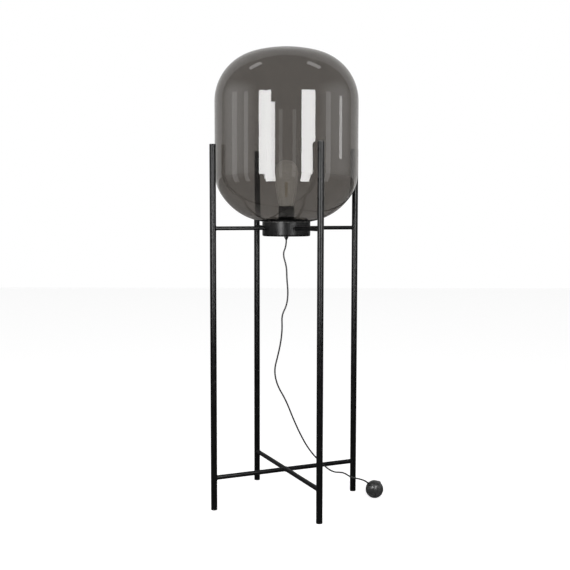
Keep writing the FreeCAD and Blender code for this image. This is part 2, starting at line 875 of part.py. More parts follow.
def make_bulb_filaments():
    """Four upright filaments on a small circle, tied by a ring at their upper ends."""
    foot = "bulb_length - 65 - filament_length"
    rods = []
    for index, (along_x, along_y) in enumerate((("", None), ("-", None), (None, ""), (None, "-"))):
        rod = doc.addObject("Part::Cylinder", f"filament_{index + 1}")
        rod.Radius = 0.9
        rod.setExpression("Height", sized("filament_length"))
        across = "0" if along_x is None else along_x + "filament_circle / 2"
        along = "0" if along_y is None else along_y + "filament_circle / 2"
        place(rod, across, along, f"{BULB_FOOT} + {foot}")
        rods.append(rod)
    tie = doc.addObject("Part::Torus", "filament_tie")
    tie.setExpression("Radius1", sized("filament_circle / 2"))
    tie.Radius2 = 0.5
    place(tie, up=f"{BULB_FOOT} + {foot} + filament_length")
    fused = doc.addObject("Part::MultiFuse", "bulb_filaments")
    fused.Shapes = rods + [tie]
    keep(fused, "bulb_filaments")


make_bulb_envelope()
make_bulb_cap()
make_bulb_contact()
make_bulb_stem()
make_bulb_filaments()

# ---------------------------------------------------------------- tubes along a route


def swing(across, away, height):
    """A point of the cord, given in the upright plane that the cord hangs in."""
    turn = math.radians(size("swing_bearing"))
    return FreeCAD.Vector(across * math.cos(turn) - away * math.sin(turn),
                          across * math.sin(turn) + away * math.cos(turn), height)


def rounded_route(points):
    """Straight runs joined by tangent arcs, and the radii of the arcs."""
    edges = []
    radii = []
    start = points[0]
    for before, corner, after in zip(points, points[1:], points[2:]):
        back = (before - corner)
        ahead = (after - corner)
        shorter = min(back.Length, ahead.Length)
        back.normalize()
        ahead.normalize()
        half_turn = (math.pi - back.getAngle(ahead)) / 2
        trim = 0.45 * shorter
        radius = trim / math.tan(half_turn)
        arc_start = corner + back * trim
        arc_end = corner + ahead * trim
        middle_way = (back + ahead).normalize()
        arc_middle = corner + middle_way * (radius / math.cos(half_turn) - radius)
        edges.append(Part.LineSegment(start, arc_start).toShape())
        edges.append(Part.Arc(arc_start, arc_middle, arc_end).toShape())
        radii.append(radius)
        start = arc_end
    edges.append(Part.LineSegment(start, points[-1]).toShape())
    return edges, radii


def tube_along(edges, diameter):
    """A round tube along edges that follow on smoothly."""
    path = Part.Wire(edges)
    first = edges[0]
    start = first.valueAt(first.FirstParameter)
    direction = first.tangentAt(first.FirstParameter)
    section = Part.Wire([Part.Circle(start, direction, diameter / 2).toShape()])
    shell = Part.BRepOffsetAPI.MakePipeShell(path)
    shell.add(section)
    shell.build()
    shell.makeSolid()
    solid = shell.shape()
    exact = math.pi * diameter ** 2 / 4 * path.Length
    return solid, path, exact


def make_tube(name, edges, radii=None):
    """A cord's solid, with its length, its radii and its volume against the exact one."""
    solid, path, exact = tube_along(edges, size("cord_diameter"))
    item = doc.addObject("Part::Feature", name)
    item.Shape = solid
    keep(item, name)
    ratio = solid.Volume / exact
    print(f"{name}: length {path.Length:.1f}, volume {ratio:.4f} of section times length")
    if radii:
        print("  radii", " ".join(f"{radius:.0f}" for radius in radii))
    return path


def ball_across():
    """How far across the ball lies, which grows with the frame so that it stays clear of it."""
    return size("leg_spacing") / 2 + size("ball_clear")


def hank_across():
    """How far across the hank's first run lies, on the ball's far side."""
    return ball_across() + size("hank_beyond")


def ball_point(reach):
    """A point on the cord's line through the ball, so far past the ball's centre."""
    turn = math.radians(size("ball_turn"))
    tilt = math.radians(size("ball_tilt"))
    return (ball_across() + reach * math.cos(tilt) * math.cos(turn),
            size("ball_away") + reach * math.cos(tilt) * math.sin(turn),
            size("ball_diameter") / 2 - reach * math.sin(tilt))


def hank_side(reach):
    """A point on the line of the hank's first run, so far short of the hank."""
    turn = math.radians(size("hank_turn"))
    return (hank_across() + reach * math.sin(turn),
            size("hank_away") - reach * math.cos(turn), size("hank_level"))


BUSHING_END = size("ball_diameter") / 2 + size("bushing_reach")

# The cord hangs from the gland and swings out to the ball switch on the floor.
CORD_ROUTE = [
    (0.0, 0.0, 820.5),
    (0.0, 0.0, 801.0),
    (-11.0, 0.0, 776.0),
    (1.0, 0.0, 738.0),
    (2.0, 0.5, 698.0),
    (6.0, 1.0, 655.0),
    (2.0, 1.0, 617.0),
    (-14.0, 1.0, 585.0),
    (-12.0, 1.0, 545.0),
    (-16.0, 1.0, 504.0),
    (-25.0, 0.5, 461.0),
    (-37.5, 0.0, 413.0),
    (-28.0, 0.0, 366.0),
    (-1.0, 0.0, 320.0),
    (21.0, 0.0, 264.0),
    (43.0, 0.0, 214.0),
    (71.0, 0.0, 163.0),
    (107.0, 0.0, 122.0),
    (146.0, 0.0, 88.5),
    (181.0, 0.0, 89.5),
    (204.0, 0.0, 73.0),
    (233.0, -1.0, 68.0),
    ball_point(-BUSHING_END - 20.8),
    ball_point(-BUSHING_END),
]

# The lead leaves the far side of the ball and turns back behind it to the hank.
LEAD_ROUTE = [
    ball_point(BUSHING_END),
    ball_point(BUSHING_END + 8.6),
    hank_side(12.0),
    hank_side(0.0),
]

cord_edges, cord_radii = rounded_route([swing(*point) for point in CORD_ROUTE])
make_tube("lamp_cord", cord_edges, cord_radii)
lead_edges, lead_radii = rounded_route([swing(*point) for point in LEAD_ROUTE])
make_tube("mains_lead", lead_edges, lead_radii)

# ---------------------------------------------------------------- the hank of spare lead

# Local axes of the hank: Y along its runs, X across them, Z up. The first run starts at
# the near right corner. Loops nest inwards in the lower layer and outwards in the upper
# one, a step apart, and every run is drawn in towards the tie at its middle.

PLUG_OFFSET = -5.0
PLUG_FACE = 3.0
PLUG_REST = 0.4


def hank_corner():
    """Where the hank's local axes start, in the swing plane's coordinates."""
    turn = math.radians(size("hank_turn"))
    reach = size("hank_inner") + 1.5 * size("hank_step")
    return (hank_across() - reach * math.cos(turn),
            size("hank_away") - reach * math.sin(turn))


def hank_point(across, along, height):
    turn = math.radians(size("hank_turn"))
    origin = hank_corner()
    return swing(origin[0] + across * math.cos(turn) - along * math.sin(turn),
                 origin[1] + across * math.sin(turn) + along * math.cos(turn), height)


def ease(start, end, way):
    """Two equal arcs that shift sideways from start to end and leave and arrive along way."""
    shift = end - start
    run = shift.dot(way)
    side = shift - way * run
    if side.Length < 1e-6:
        return [Part.LineSegment(start, end).toShape()]
    radius = (run ** 2 + side.Length ** 2) / (4 * side.Length)
    half = math.atan2(side.Length, run)
    across = FreeCAD.Vector(side).normalize()
    first = start + way * (radius * math.sin(half)) + across * (radius * (1 - math.cos(half)))
    second = end - way * (radius * math.sin(half)) - across * (radius * (1 - math.cos(half)))
    middle = (start + end) * 0.5
    return [Part.Arc(start, first, middle).toShape(), Part.Arc(middle, second, end).toShape()]


def hank_runs():
    """Each run's place across, its heading and its levels, in the order they are wound."""
    inner, step = size("hank_inner"), size("hank_step")
    low = size("hank_level")
    mid = size("hank_level") + size("hank_lift")
    top = size("hank_level") + 2 * size("hank_lift")
    return [
        (inner + 1.5 * step, 1, low, low),
        (-(inner + step), -1, low, low),
        (inner + 0.5 * step, 1, low, low),
        (-inner, -1, low, mid),
        (inner, 1, mid, mid),
        (-(inner + step), -1, mid, mid),
        (inner + step, 1, mid, top),
    ]


def hank_edges():
    """The whole hank as one smooth chain of arcs, from its first run to the plug."""
    forward = hank_point(0, 1, 0) - hank_point(0, 0, 0)
    edges = []
    end = None
    for across, way, level, level_after in hank_runs():
        near, far = (0.0, size("hank_run")) if way > 0 else (size("hank_run"), 0.0)
        start = hank_point(across, near, level)
        waist = hank_point(across - math.copysign(size("hank_draw"), across), size("hank_run") / 2,
                           (level + level_after) / 2)
        if end is None:
            straight = hank_point(across, size("cord_diameter"), level)
            edges.append(Part.LineSegment(start, straight).toShape())
            start = straight
        else:
            edges.append(fold(end, start, forward * -way))
        end = hank_point(across, far, level_after)
        edges += ease(start, waist, forward * way)
        edges += ease(waist, end, forward * way)
    back = hank_point(inner_fold_end(), size("hank_run"), size("hank_level") + 2 * size("hank_lift"))
    edges.append(fold(end, back, forward))
    entry = plug_entry()
    straight = entry + forward * size("cord_diameter")
    edges += ease(back, straight, forward * -1)
    edges.append(Part.LineSegment(straight, entry).toShape())
    return edges


def inner_fold_end():
    """How far across the last fold comes back, three diameters in radius."""
    return size("hank_inner") + size("hank_step") - 6 * size("cord_diameter")


def fold(start, end, outward):
    """The half turn at a hank's end."""
    radius = (end - start).Length / 2
    return Part.Arc(start, (start + end) * 0.5 + outward * radius, end).toShape()


def plug_level():
    """The height of the plug's middle, which lies on the hank's second layer."""
    second_layer = size("hank_level") + size("hank_lift") + size("cord_diameter") / 2
    return second_layer + PLUG_REST + size("plug_thickness") / 2


def plug_entry():
    reach = PLUG_FACE + size("plug_length") + size("plug_relief")
    return hank_point(PLUG_OFFSET, reach, plug_level())


def least_gap(path, diameter):
    """The least clear space between two turns of a tube, measured on points of its line."""
    spacing = 1.2
    points = path.discretize(Number=int(path.Length / spacing))
    apart = int(4 * diameter / spacing)
    least = min(one.distanceToPoint(other)
                for index, one in enumerate(points)
                for other in points[index + apart:])
    return least - diameter


hank_path = make_tube("cord_hank", hank_edges())
print(f"cord_hank: least gap between turns {least_gap(hank_path, size('cord_diameter')):.2f}")


def make_cord_tie():
    """The strap round the hank's waist: a flat band that follows the bundle's section."""
    body = new_body("cord_tie")
    sketch = new_sketch(body, "XZ_Plane")
    slack = "cord_diameter / 2 + tie_gap"
    for extra in ("", " + tie_thickness"):
        left = f"-(hank_inner + hank_step - hank_draw + {slack}{extra})"
        right = f"hank_inner + 1.5 * hank_step - hank_draw + {slack}{extra}"
        floor = f"hank_level - ({slack}{extra})"
        low_top = f"hank_level + hank_lift + {slack}{extra}"
        high_top = f"hank_level + 1.5 * hank_lift + 3 * tie_gap + {slack}{extra}"
        add_outline(sketch, [(left, floor), (right, floor), (right, high_top), (left, low_top)])
    feature(body, "Pad", sketch, "Band", Length="tie_width", SideType="Symmetric")
    body.Placement = FreeCAD.Placement(
        hank_point(0, size("hank_run") / 2, 0),
        FreeCAD.Rotation(FreeCAD.Vector(0, 0, 1), size("swing_bearing") + size("hank_turn")))
    keep(body, "cord_tie")


make_cord_tie()

# ---------------------------------------------------------------- the mains plug


def plug_place(item):
    """Stand a piece of the plug on the hank: local Y runs from the pins to the cord."""
    face = hank_point(PLUG_OFFSET, PLUG_FACE, plug_level())
    item.Placement = FreeCAD.Placement(
        face, FreeCAD.Rotation(FreeCAD.Vector(0, 0, 1), size("swing_bearing") + size("hank_turn")))


def make_plug_body():
    """The flat two-pin body, waisted towards the cord, with a tapered relief."""
    body = new_body("plug_body")
    sketch = new_sketch(body, "XY_Plane")
    half = "plug_width / 2"
    narrow = "plug_shoulder / 2"
    corners = [
        ("-" + half, "0"),
        (half, "0"),
        (half, "plug_length * 0.35"),
        (narrow, "plug_length"),
        ("-" + narrow, "plug_length"),
        ("-" + half, "plug_length * 0.35"),
    ]
    add_outline(sketch, corners)
    feature(body, "Pad", sketch, "Block", Length="plug_thickness", SideType="Symmetric")
    doc.recompute()
    block = body.Group[-1]
    soft = body.newObject("PartDesign::Fillet", "plug_bodySoft")
    names = [f"Edge{index + 1}" for index, edge in enumerate(block.Shape.Edges)
             if edge.BoundBox.YMax > 0.01]
    soft.Base = (block, names)
    soft.Radius = 3.5
    relief = body.newObject("PartDesign::AdditiveCone", "plug_bodyRelief")
    relief.Radius1 = 4.6
    relief.Radius2 = 3.3
    relief.setExpression("Height", sized("plug_relief + 4"))
    plane = [item for item in body.Origin.OriginFeatures if item.Role == "XZ_Plane"][0]
    relief.AttachmentSupport = [(plane, "")]
    relief.MapMode = "FlatFace"
    relief.AttachmentOffset = FreeCAD.Placement(
        FreeCAD.Vector(0, 0, -(size("plug_length") - 4)), FreeCAD.Rotation(FreeCAD.Vector(1, 0, 0), 180))
    body.Tip = relief
    sketch = new_sketch(body, "XZ_Plane")
    for side in ("-", ""):
        add_circle(sketch, "pin_diameter / 2 + insert_gap", side + "pin_spacing / 2")
    feature(body, "Pocket", sketch, "PinSeats", Length="pin_seat")
    plug_place(body)
    keep(body, "plug_body")


def make_plug_pins():
    """Two round pins, each with a rounded tip."""
    pair = []
    for name, side in (("left", -1), ("right", 1)):
        radius = "pin_diameter / 2"
        corners = [
            ("0", "insert_gap - pin_seat"),
            (radius, "insert_gap - pin_seat"),
            (radius, "pin_length - 1.4"),
            (radius + " - 1.2", "pin_length"),
            ("0", "pin_length"),
        ]
        pin = turned("plug_pin_" + name, corners, {2: ("1.5", -1)})
        pin.Placement = FreeCAD.Placement(
            FreeCAD.Vector(side * size("pin_spacing") / 2, 0, 0),
            FreeCAD.Rotation(FreeCAD.Vector(1, 0, 0), 90))
        pair.append(pin)
    group = doc.addObject("Part::Compound", "plug_pins")
    group.Links = pair
    plug_place(group)
    keep(group, "plug_pins")


make_plug_body()
make_plug_pins()

# ---------------------------------------------------------------- the ball switch

# Local axes of the ball: X along the cord through it, Z to the button.


def ball_place(item):
    centre = swing(ball_across(), size("ball_away"), size("ball_diameter") / 2)
    turn = size("swing_bearing") + size("ball_turn")
    item.Placement = FreeCAD.Placement(centre, FreeCAD.Rotation(turn, size("ball_tilt"), 0))


SCREW_SEAT = "(sqrt((ball_diameter / 2) ^ 2 - (pillar_offset + screw_head / 2) ^ 2) - 3)"


def add_pillars(body, side):
    """The two pillars inside a half shell, bored for the screws that join the halves."""
    upper = side > 0
    level = "seam_gap / 2" if upper else "-seam_gap / 2"
    radius = "pillar_diameter / 2" if upper else "socket_diameter / 2"
    skin = f"sqrt((ball_diameter / 2 - ball_wall / 2) ^ 2 - (pillar_offset + {radius}) ^ 2)"
    bore = "screw_grip + 1" if upper else SCREW_SEAT
    rows = ("pillar_offset", "-pillar_offset")
    sketch = new_sketch(body, "XY_Plane", level)
    for row in rows:
        add_circle(sketch, radius, "0", row)
    feature(body, "Pad", sketch, "Pillars", Length=f"{skin} - seam_gap / 2", Reversed=not upper)
    sketch = new_sketch(body, "XY_Plane", level)
    for row in rows:
        add_circle(sketch, "screw_diameter / 2 + insert_gap", "0", row)
    feature(body, "Pocket", sketch, "Bores", Length=bore, Reversed=upper)
    if not upper:
        sketch = new_sketch(body, "XY_Plane", "-" + SCREW_SEAT)
        for row in rows:
            add_circle(sketch, "screw_head / 2 + insert_gap", "0", row)
        feature(body, "Pocket", sketch, "HeadSeats", Length="ball_diameter / 2")


def make_ball_shell(name, side):
    """One half of the ball, with the holes that the cord, button and screws go through."""
    outer = "ball_diameter / 2"
    inner = "(ball_diameter / 2 - ball_wall)"
    seam = "seam_gap / 2"
    face = seam if side > 0 else "-" + seam
    start = "button_diameter / 2 + button_gap" if side > 0 else "0"
    sign = "" if side > 0 else "-"
    corners = [
        (f"sqrt(({outer}) ^ 2 - ({seam}) ^ 2)", face),
        (start, f"{sign}sqrt(({outer}) ^ 2 - ({start}) ^ 2)"),
        (start, f"{sign}sqrt({inner} ^ 2 - ({start}) ^ 2)"),
        (f"sqrt({inner} ^ 2 - ({seam}) ^ 2)", face),
    ]
    bow = -1 if side > 0 else 1
    body = turned(name, corners, {0: (outer, bow), 2: (inner, -bow)})
    drilled(body, "YZ_Plane", [("bushing_diameter / 2 - 1 + 0.15",)], "CordHoles")
    add_pillars(body, side)
    ball_place(body)
    keep(body, name)


def make_switch_button():
    """The round button: its top carries on the ball's curve, a flange keeps it in."""
    radius = "button_diameter / 2"
    outer = "ball_diameter / 2"
    under = "(ball_diameter / 2 - ball_wall)"
    brim = "(button_flange / 2)"
    flange_top = f"sqrt({under} ^ 2 - {brim} ^ 2) - button_gap"
    corners = [
        ("0", f"{flange_top} - button_brim"),
        (brim, f"{flange_top} - button_brim"),
        (brim, flange_top),
        (radius, flange_top),
        (radius, f"sqrt(({outer}) ^ 2 - ({radius}) ^ 2)"),
        ("0", outer),
    ]
    body = turned("switch_button", corners, {4: (outer, -1)})
    ball_place(body)
    keep(body, "switch_button")


def make_switch_module():
    """The switch block, standing in the lower shell, with its plunger under the button."""
    body = new_body("switch_module")
    wide, deep = "module_width / 2", "module_depth / 2"
    bowl = f"sqrt((ball_diameter / 2 - ball_wall) ^ 2 - ({wide}) ^ 2 - ({deep}) ^ 2)"
    sketch = new_sketch(body, "XY_Plane", f"insert_gap * 2 - {bowl}")
    add_outline(sketch, [("-" + wide, "-" + deep), (wide, "-" + deep), (wide, deep), ("-" + wide, deep)])
    feature(body, "Pad", sketch, "Block", Length=f"{bowl} + module_rise")
    padded(body, "XY_Plane", "plunger_rise", [("3",)], offset="module_rise", name="Plunger")
    ball_place(body)
    keep(body, "switch_module")


def make_switch_bushings():
    """The two flanged bushings that the cord passes through, one each side."""
    pair = []
    reach = "ball_diameter / 2 + bushing_reach"
    wall = "ball_diameter / 2 - ball_wall - 0.8"
    for name, turn in (("entry", -90.0), ("exit", 90.0)):
        corners = [
            ("cord_bore / 2", wall + " - 1.6"),
            ("bushing_diameter / 2 + 0.6", wall + " - 1.6"),
            ("bushing_diameter / 2 + 0.6", wall),
            ("bushing_diameter / 2 - 1", wall),
            ("bushing_diameter / 2 - 1", "ball_diameter / 2 + 0.3"),
            ("bushing_diameter / 2", "ball_diameter / 2 + 0.3"),
            ("bushing_tip / 2", reach),
            ("cord_bore / 2", reach),
        ]
        bushing = turned("bushing_" + name, corners)
        bushing.Placement = FreeCAD.Placement(
            FreeCAD.Vector(), FreeCAD.Rotation(FreeCAD.Vector(0, 1, 0), turn))
        pair.append(bushing)
    group = doc.addObject("Part::Compound", "switch_bushings")
    group.Links = pair
    ball_place(group)
    keep(group, "switch_bushings")


def make_switch_tails():
    """The two ends of the cord inside the ball, from the bushings to the switch block."""
    pair = []
    for name, way in (("entry", -1), ("exit", 1)):
        tail = doc.addObject("Part::Cylinder", "tail_" + name)
        tail.setExpression("Radius", sized("cord_diameter / 2"))
        tail.setExpression("Height", sized("ball_diameter / 2 + bushing_reach - module_width / 2"))
        tail.Placement = FreeCAD.Placement(
            FreeCAD.Vector(), FreeCAD.Rotation(FreeCAD.Vector(0, 1, 0), way * 90.0))
        tail.setExpression(".Placement.Base.x", sized(f"{way} * module_width / 2"))
        pair.append(tail)
    group = doc.addObject("Part::Compound", "switch_tails")
    group.Links = pair
    ball_place(group)
    keep(group, "switch_tails")


def make_switch_screws():
    """Two screws, sunk in the underside, that draw the shells together."""
    pair = []
    for name, side in (("front", "-"), ("rear", "")):
        corners = [
            ("0", f"-{SCREW_SEAT} - 2"),
            ("screw_head / 2", f"-{SCREW_SEAT} - 2"),
            ("screw_head / 2", "-" + SCREW_SEAT),
            ("screw_diameter / 2", "-" + SCREW_SEAT),
            ("screw_diameter / 2", "screw_grip"),
            ("0", "screw_grip"),
        ]
        screw = turned("switch_screw_" + name, corners)
        place(screw, along=side + "pillar_offset")
        pair.append(screw)
    group = doc.addObject("Part::Compound", "switch_screws")
    group.Links = pair
    ball_place(group)
    keep(group, "switch_screws")


make_ball_shell("switch_upper_shell", 1)
make_ball_shell("switch_lower_shell", -1)
make_switch_button()
make_switch_module()
make_switch_bushings()
make_switch_tails()
make_switch_screws()

# ---------------------------------------------------------------- cord inside the stack


def make_cord_end():
    """The sheathed end of the cord, up through the gland and the nipple."""
    item = doc.addObject("Part::Cylinder", "cord_end")
    item.setExpression("Radius", sized("cord_diameter / 2"))
    item.setExpression("Height", sized("gland_length + holder_foot - 3"))
    place(item, up=f"{DISH_FLOOR} - gland_length")
    keep(item, "cord_end")


def make_inner_leads():
    """Two insulated leads that fan out from the cord's end to the terminals."""
    base = value_of(sheet, DISH_FLOOR)
    foot = base + size("holder_foot") - 3
    top = base + size("insert_foot") - 2
    leads = []
    for side in (-1, 1):
        spread = side * size("terminal_spread")
        points = [
            FreeCAD.Vector(side * 1.1, 0, foot),
            FreeCAD.Vector(side * 1.1, 0, foot + 10.5),
            FreeCAD.Vector(spread * 0.55, 0, foot + 13.0),
            FreeCAD.Vector(spread, 0, foot + 12.4),
            FreeCAD.Vector(spread, 0, top),
        ]
        edges, radii = rounded_route(points)
        leads.append(tube_along(edges, 1.8)[0])
    item = doc.addObject("Part::Feature", "inner_leads")
    item.Shape = Part.Compound(leads)
    keep(item, "inner_leads")


make_cord_end()
make_inner_leads()

# ---------------------------------------------------------------- check and write

doc.recompute()
for item in doc.Objects:
    if "Invalid" in item.State or "Error" in item.State:
        raise RuntimeError(f"{item.Label} did not build: {item.State}")
for item in nodes:
    if item.Shape.isNull() or not item.Shape.isValid():
        raise RuntimeError(f"{item.Label} has no valid shape")
for item in nodes:
    item.Shape.exportStep(f"parts/{item.Label}.step")
    volume = sum(solid.Volume for solid in item.Shape.Solids)
    print(f"{item.Label}: {len(item.Shape.Solids)} solid, {volume / 1000:.2f} cm3")
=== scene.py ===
"""Floor lamp: a smoked glass vessel on a small dish, carried between four tall tube legs."""

import logging
import math
from dataclasses import dataclass, field
from enum import Enum
from typing import Iterable, Sequence

import bmesh
import bpy
from mathutils import Matrix, Vector


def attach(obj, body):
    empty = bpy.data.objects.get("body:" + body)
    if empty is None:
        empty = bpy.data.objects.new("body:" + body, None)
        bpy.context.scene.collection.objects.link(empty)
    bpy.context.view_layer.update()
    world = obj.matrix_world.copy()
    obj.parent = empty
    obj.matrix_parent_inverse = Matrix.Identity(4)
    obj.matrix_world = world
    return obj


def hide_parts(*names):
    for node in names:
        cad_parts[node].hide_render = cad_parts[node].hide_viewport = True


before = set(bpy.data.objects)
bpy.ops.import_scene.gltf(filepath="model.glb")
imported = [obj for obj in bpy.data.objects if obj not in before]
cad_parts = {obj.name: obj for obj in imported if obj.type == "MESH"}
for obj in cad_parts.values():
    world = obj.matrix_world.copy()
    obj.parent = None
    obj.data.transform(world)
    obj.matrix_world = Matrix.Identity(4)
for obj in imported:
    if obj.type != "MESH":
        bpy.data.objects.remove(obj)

logging.basicConfig(level=logging.INFO, format="%(levelname)s %(message)s")
log = logging.getLogger("floor_lamp")

Point = tuple[float, float, float]
Ring = tuple[float, float]
Colour = tuple[float, float, float]

BEARING = math.radians(20.92)
"""How far the photograph's line of sight is turned from the +Y axis, towards +X."""
MM = 0.001
"""A millimetre, for the cords' routes, which are written in millimetres."""
NOISE_LOW, NOISE_HIGH = 0.3, 0.7
"""The noise values between which most of a pattern lies."""


class Body(Enum):
    """The bodies that pieces ride on."""

    FRAME = "frame"
    SHADE = "shade"
    BULB = "bulb"
    BUTTON = "button"


class Corner(Enum):
    """The four corners of the frame, with their signs along X and Y."""

    FRONT_RIGHT = ("front_right", 1, -1)
    REAR_RIGHT = ("rear_right", 1, 1)
    REAR_LEFT = ("rear_left", -1, 1)
    FRONT_LEFT = ("front_left", -1, -1)

    @property
    def label(self) -> str:
        """The corner's name as it stands in a node's name."""
        return self.value[0]

    @property
    def heading(self) -> float:
        """The direction from the axis out to the leg, in radians from +X."""
        return math.atan2(self.value[2], self.value[1])


# ---------------------------------------------------------------- materials


class Nodes:
    """A material under construction, with short calls for the few nodes it needs."""

    def __init__(self, name: str) -> None:
        """Start an empty material.

        Args:
            name: the material's name.
        """
        self.material = bpy.data.materials.new(name)
        self.material.use_nodes = True
        self.tree = self.material.node_tree
        self.tree.nodes.clear()
        self.output = self.tree.nodes.new("ShaderNodeOutputMaterial")
        self.shader = self.tree.nodes.new("ShaderNodeBsdfPrincipled")
        self.link(self.shader.outputs["BSDF"], self.output.inputs["Surface"])

    def link(self, start: bpy.types.NodeSocket, end: bpy.types.NodeSocket) -> None:
        """Join an output socket to an input socket."""
        self.tree.links.new(start, end)

    def set(self, **values: float | Colour) -> None:
        """Set the shader's own sockets.

        Args:
            values: a value for each socket, its name in words joined by underscores.
        """
        for key, value in values.items():
            socket = self.shader.inputs[key.replace("_", " ")]
            socket.default_value = (*value, 1.0) if isinstance(value, tuple) else value

    def coordinates(self, stretch: Point = (1.0, 1.0, 1.0)) -> bpy.types.NodeSocket:
        """Object coordinates, stretched along each axis.

        Args:
            stretch: the scale along X, Y and Z.

        Returns:
            The socket that gives the coordinates.
        """
        source = self.tree.nodes.new("ShaderNodeTexCoord")
        mapping = self.tree.nodes.new("ShaderNodeMapping")
        mapping.inputs["Scale"].default_value = stretch
        self.link(source.outputs["Object"], mapping.inputs["Vector"])
        return mapping.outputs["Vector"]

    def noise(self, scale: float, detail: float = 3.0,
              stretch: Point = (1.0, 1.0, 1.0)) -> bpy.types.NodeSocket:
        """A noise pattern on object coordinates.

        Args:
            scale: the pattern's size, in waves per metre.
            detail: how many finer layers it has.
            stretch: how the coordinates are stretched first.

        Returns:
            The noise value's socket.
        """
        node = self.tree.nodes.new("ShaderNodeTexNoise")
        node.inputs["Scale"].default_value = scale
        node.inputs["Detail"].default_value = detail
        self.link(self.coordinates(stretch), node.inputs["Vector"])
        return node.outputs["Fac"]

    def between(self, value: bpy.types.NodeSocket, low: float, high: float) -> bpy.types.NodeSocket:
        """Spread a pattern's middle over a range of numbers.

        Args:
            value: the pattern.
            low: the number where the pattern is low.
            high: the number where it is high.

        Returns:
            The spread value's socket.
        """
        node = self.tree.nodes.new("ShaderNodeMapRange")
        node.inputs["From Min"].default_value = NOISE_LOW
        node.inputs["From Max"].default_value = NOISE_HIGH
        node.inputs["To Min"].default_value = low
        node.inputs["To Max"].default_value = high
        self.link(value, node.inputs["Value"])
        return node.outputs["Result"]

    def tint(self, value: bpy.types.NodeSocket, dark: Colour, light: Colour) -> None:
        """Colour the surface between two shades by a pattern.

        Args:
            value: the pattern.
            dark: the colour where the pattern is low.
            light: the colour where it is high.
        """
        ramp = self.tree.nodes.new("ShaderNodeValToRGB")
        for stop, position, colour in zip(ramp.color_ramp.elements, (NOISE_LOW, NOISE_HIGH), (dark, light)):
            stop.position = position
            stop.color = (*colour, 1.0)
        self.link(value, ramp.inputs["Fac"])
        self.link(ramp.outputs["Color"], self.shader.inputs["Base Color"])

    def rough(self, value: bpy.types.NodeSocket) -> None:
        """Drive the roughness by a pattern."""
        self.link(value, self.shader.inputs["Roughness"])

    def bump(self, value: bpy.types.NodeSocket, height: float, strength: float = 1.0) -> None:
        """Raise the surface by a pattern.

        Args:
            value: the pattern.
            height: its height in metres.
            strength: how much of it shows.
        """
        node = self.tree.nodes.new("ShaderNodeBump")
        node.inputs["Distance"].default_value = height
        node.inputs["Strength"].default_value = strength
        self.link(value, node.inputs["Height"])
        self.link(node.outputs["Normal"], self.shader.inputs["Normal"])


@dataclass(frozen=True)
class PowderCoat:
    """Satin black powder coat: a fine orange peel and a slightly uneven sheen."""

    name: str = "satin_black_coat"
    slot: str = "black_frame"
    colour: Colour = (0.0045, 0.0045, 0.0047)
    worn: Colour = (0.008, 0.008, 0.0083)
    roughness: float = 0.3
    peel: float = 0.00004

    def make(self) -> bpy.types.Material:
        """The material."""
        nodes = Nodes(self.name)
        cloud = nodes.noise(14.0, 4.0)
        nodes.tint(cloud, self.colour, self.worn)
        nodes.rough(nodes.between(nodes.noise(60.0, 3.0), self.roughness - 0.05, self.roughness + 0.06))
        nodes.bump(nodes.noise(900.0, 2.0), self.peel, 0.55)
        nodes.set(Specular_IOR_Level=0.17)
        return nodes.material


@dataclass(frozen=True)
class MouldedPlastic:
    """Moulded plastic: an even colour, a faint grain and small changes of gloss."""

    name: str
    slot: str
    colour: Colour
    roughness: float = 0.3
    grain: float = 0.00002
    grain_scale: float = 1500.0

    def make(self) -> bpy.types.Material:
        """The material."""
        nodes = Nodes(self.name)
        lighter = tuple(min(1.0, part * 1.35 + 0.002) for part in self.colour)
        nodes.tint(nodes.noise(35.0, 3.0), self.colour, lighter)
        nodes.rough(nodes.between(nodes.noise(90.0, 3.0), self.roughness - 0.04, self.roughness + 0.05))
        nodes.bump(nodes.noise(self.grain_scale, 2.0), self.grain, 0.4)
        return nodes.material


@dataclass(frozen=True)
class BareMetal:
    """Plated or turned metal: fine turning lines and a slightly clouded shine."""

    name: str
    slot: str
    colour: Colour
    roughness: float = 0.2
    lines: Point = (1.0, 1.0, 60.0)

    def make(self) -> bpy.types.Material:
        """The material."""
        nodes = Nodes(self.name)
        darker = tuple(part * 0.82 for part in self.colour)
        nodes.tint(nodes.noise(120.0, 3.0), darker, self.colour)
        nodes.rough(nodes.between(nodes.noise(40.0, 3.0, self.lines),
                                  self.roughness - 0.05, self.roughness + 0.08))
        nodes.bump(nodes.noise(30.0, 2.0, self.lines), 0.00001, 0.3)
        nodes.set(Metallic=1.0)
        return nodes.material


@dataclass(frozen=True)
class BlownGlass:
    """Clear or smoked glass: the light goes through it, less a share that its haze holds back."""

    name: str
    slot: str
    colour: Colour
    roughness: float = 0.0
    ripple: float = 0.0
    ripple_scale: float = 6.0
    haze: float = 0.0
    coat: float = 0.0
    glow: float = 0.0
    """A faint light of its own, in place of the light that a real bulb's glass scatters."""

    def make(self) -> bpy.types.Material:
        """The material."""
        nodes = Nodes(self.name)
        nodes.set(Base_Color=self.colour, Roughness=self.roughness, IOR=1.5,
                  Transmission_Weight=1.0 - self.haze, Coat_Weight=self.coat, Coat_IOR=2.1,
                  Coat_Roughness=0.3, Emission_Color=(1.0, 0.97, 0.93), Emission_Strength=self.glow)
        if self.ripple:
            nodes.bump(nodes.noise(self.ripple_scale, 1.0, (1.0, 1.0, 0.6)), self.ripple, 1.0)
        return nodes.material


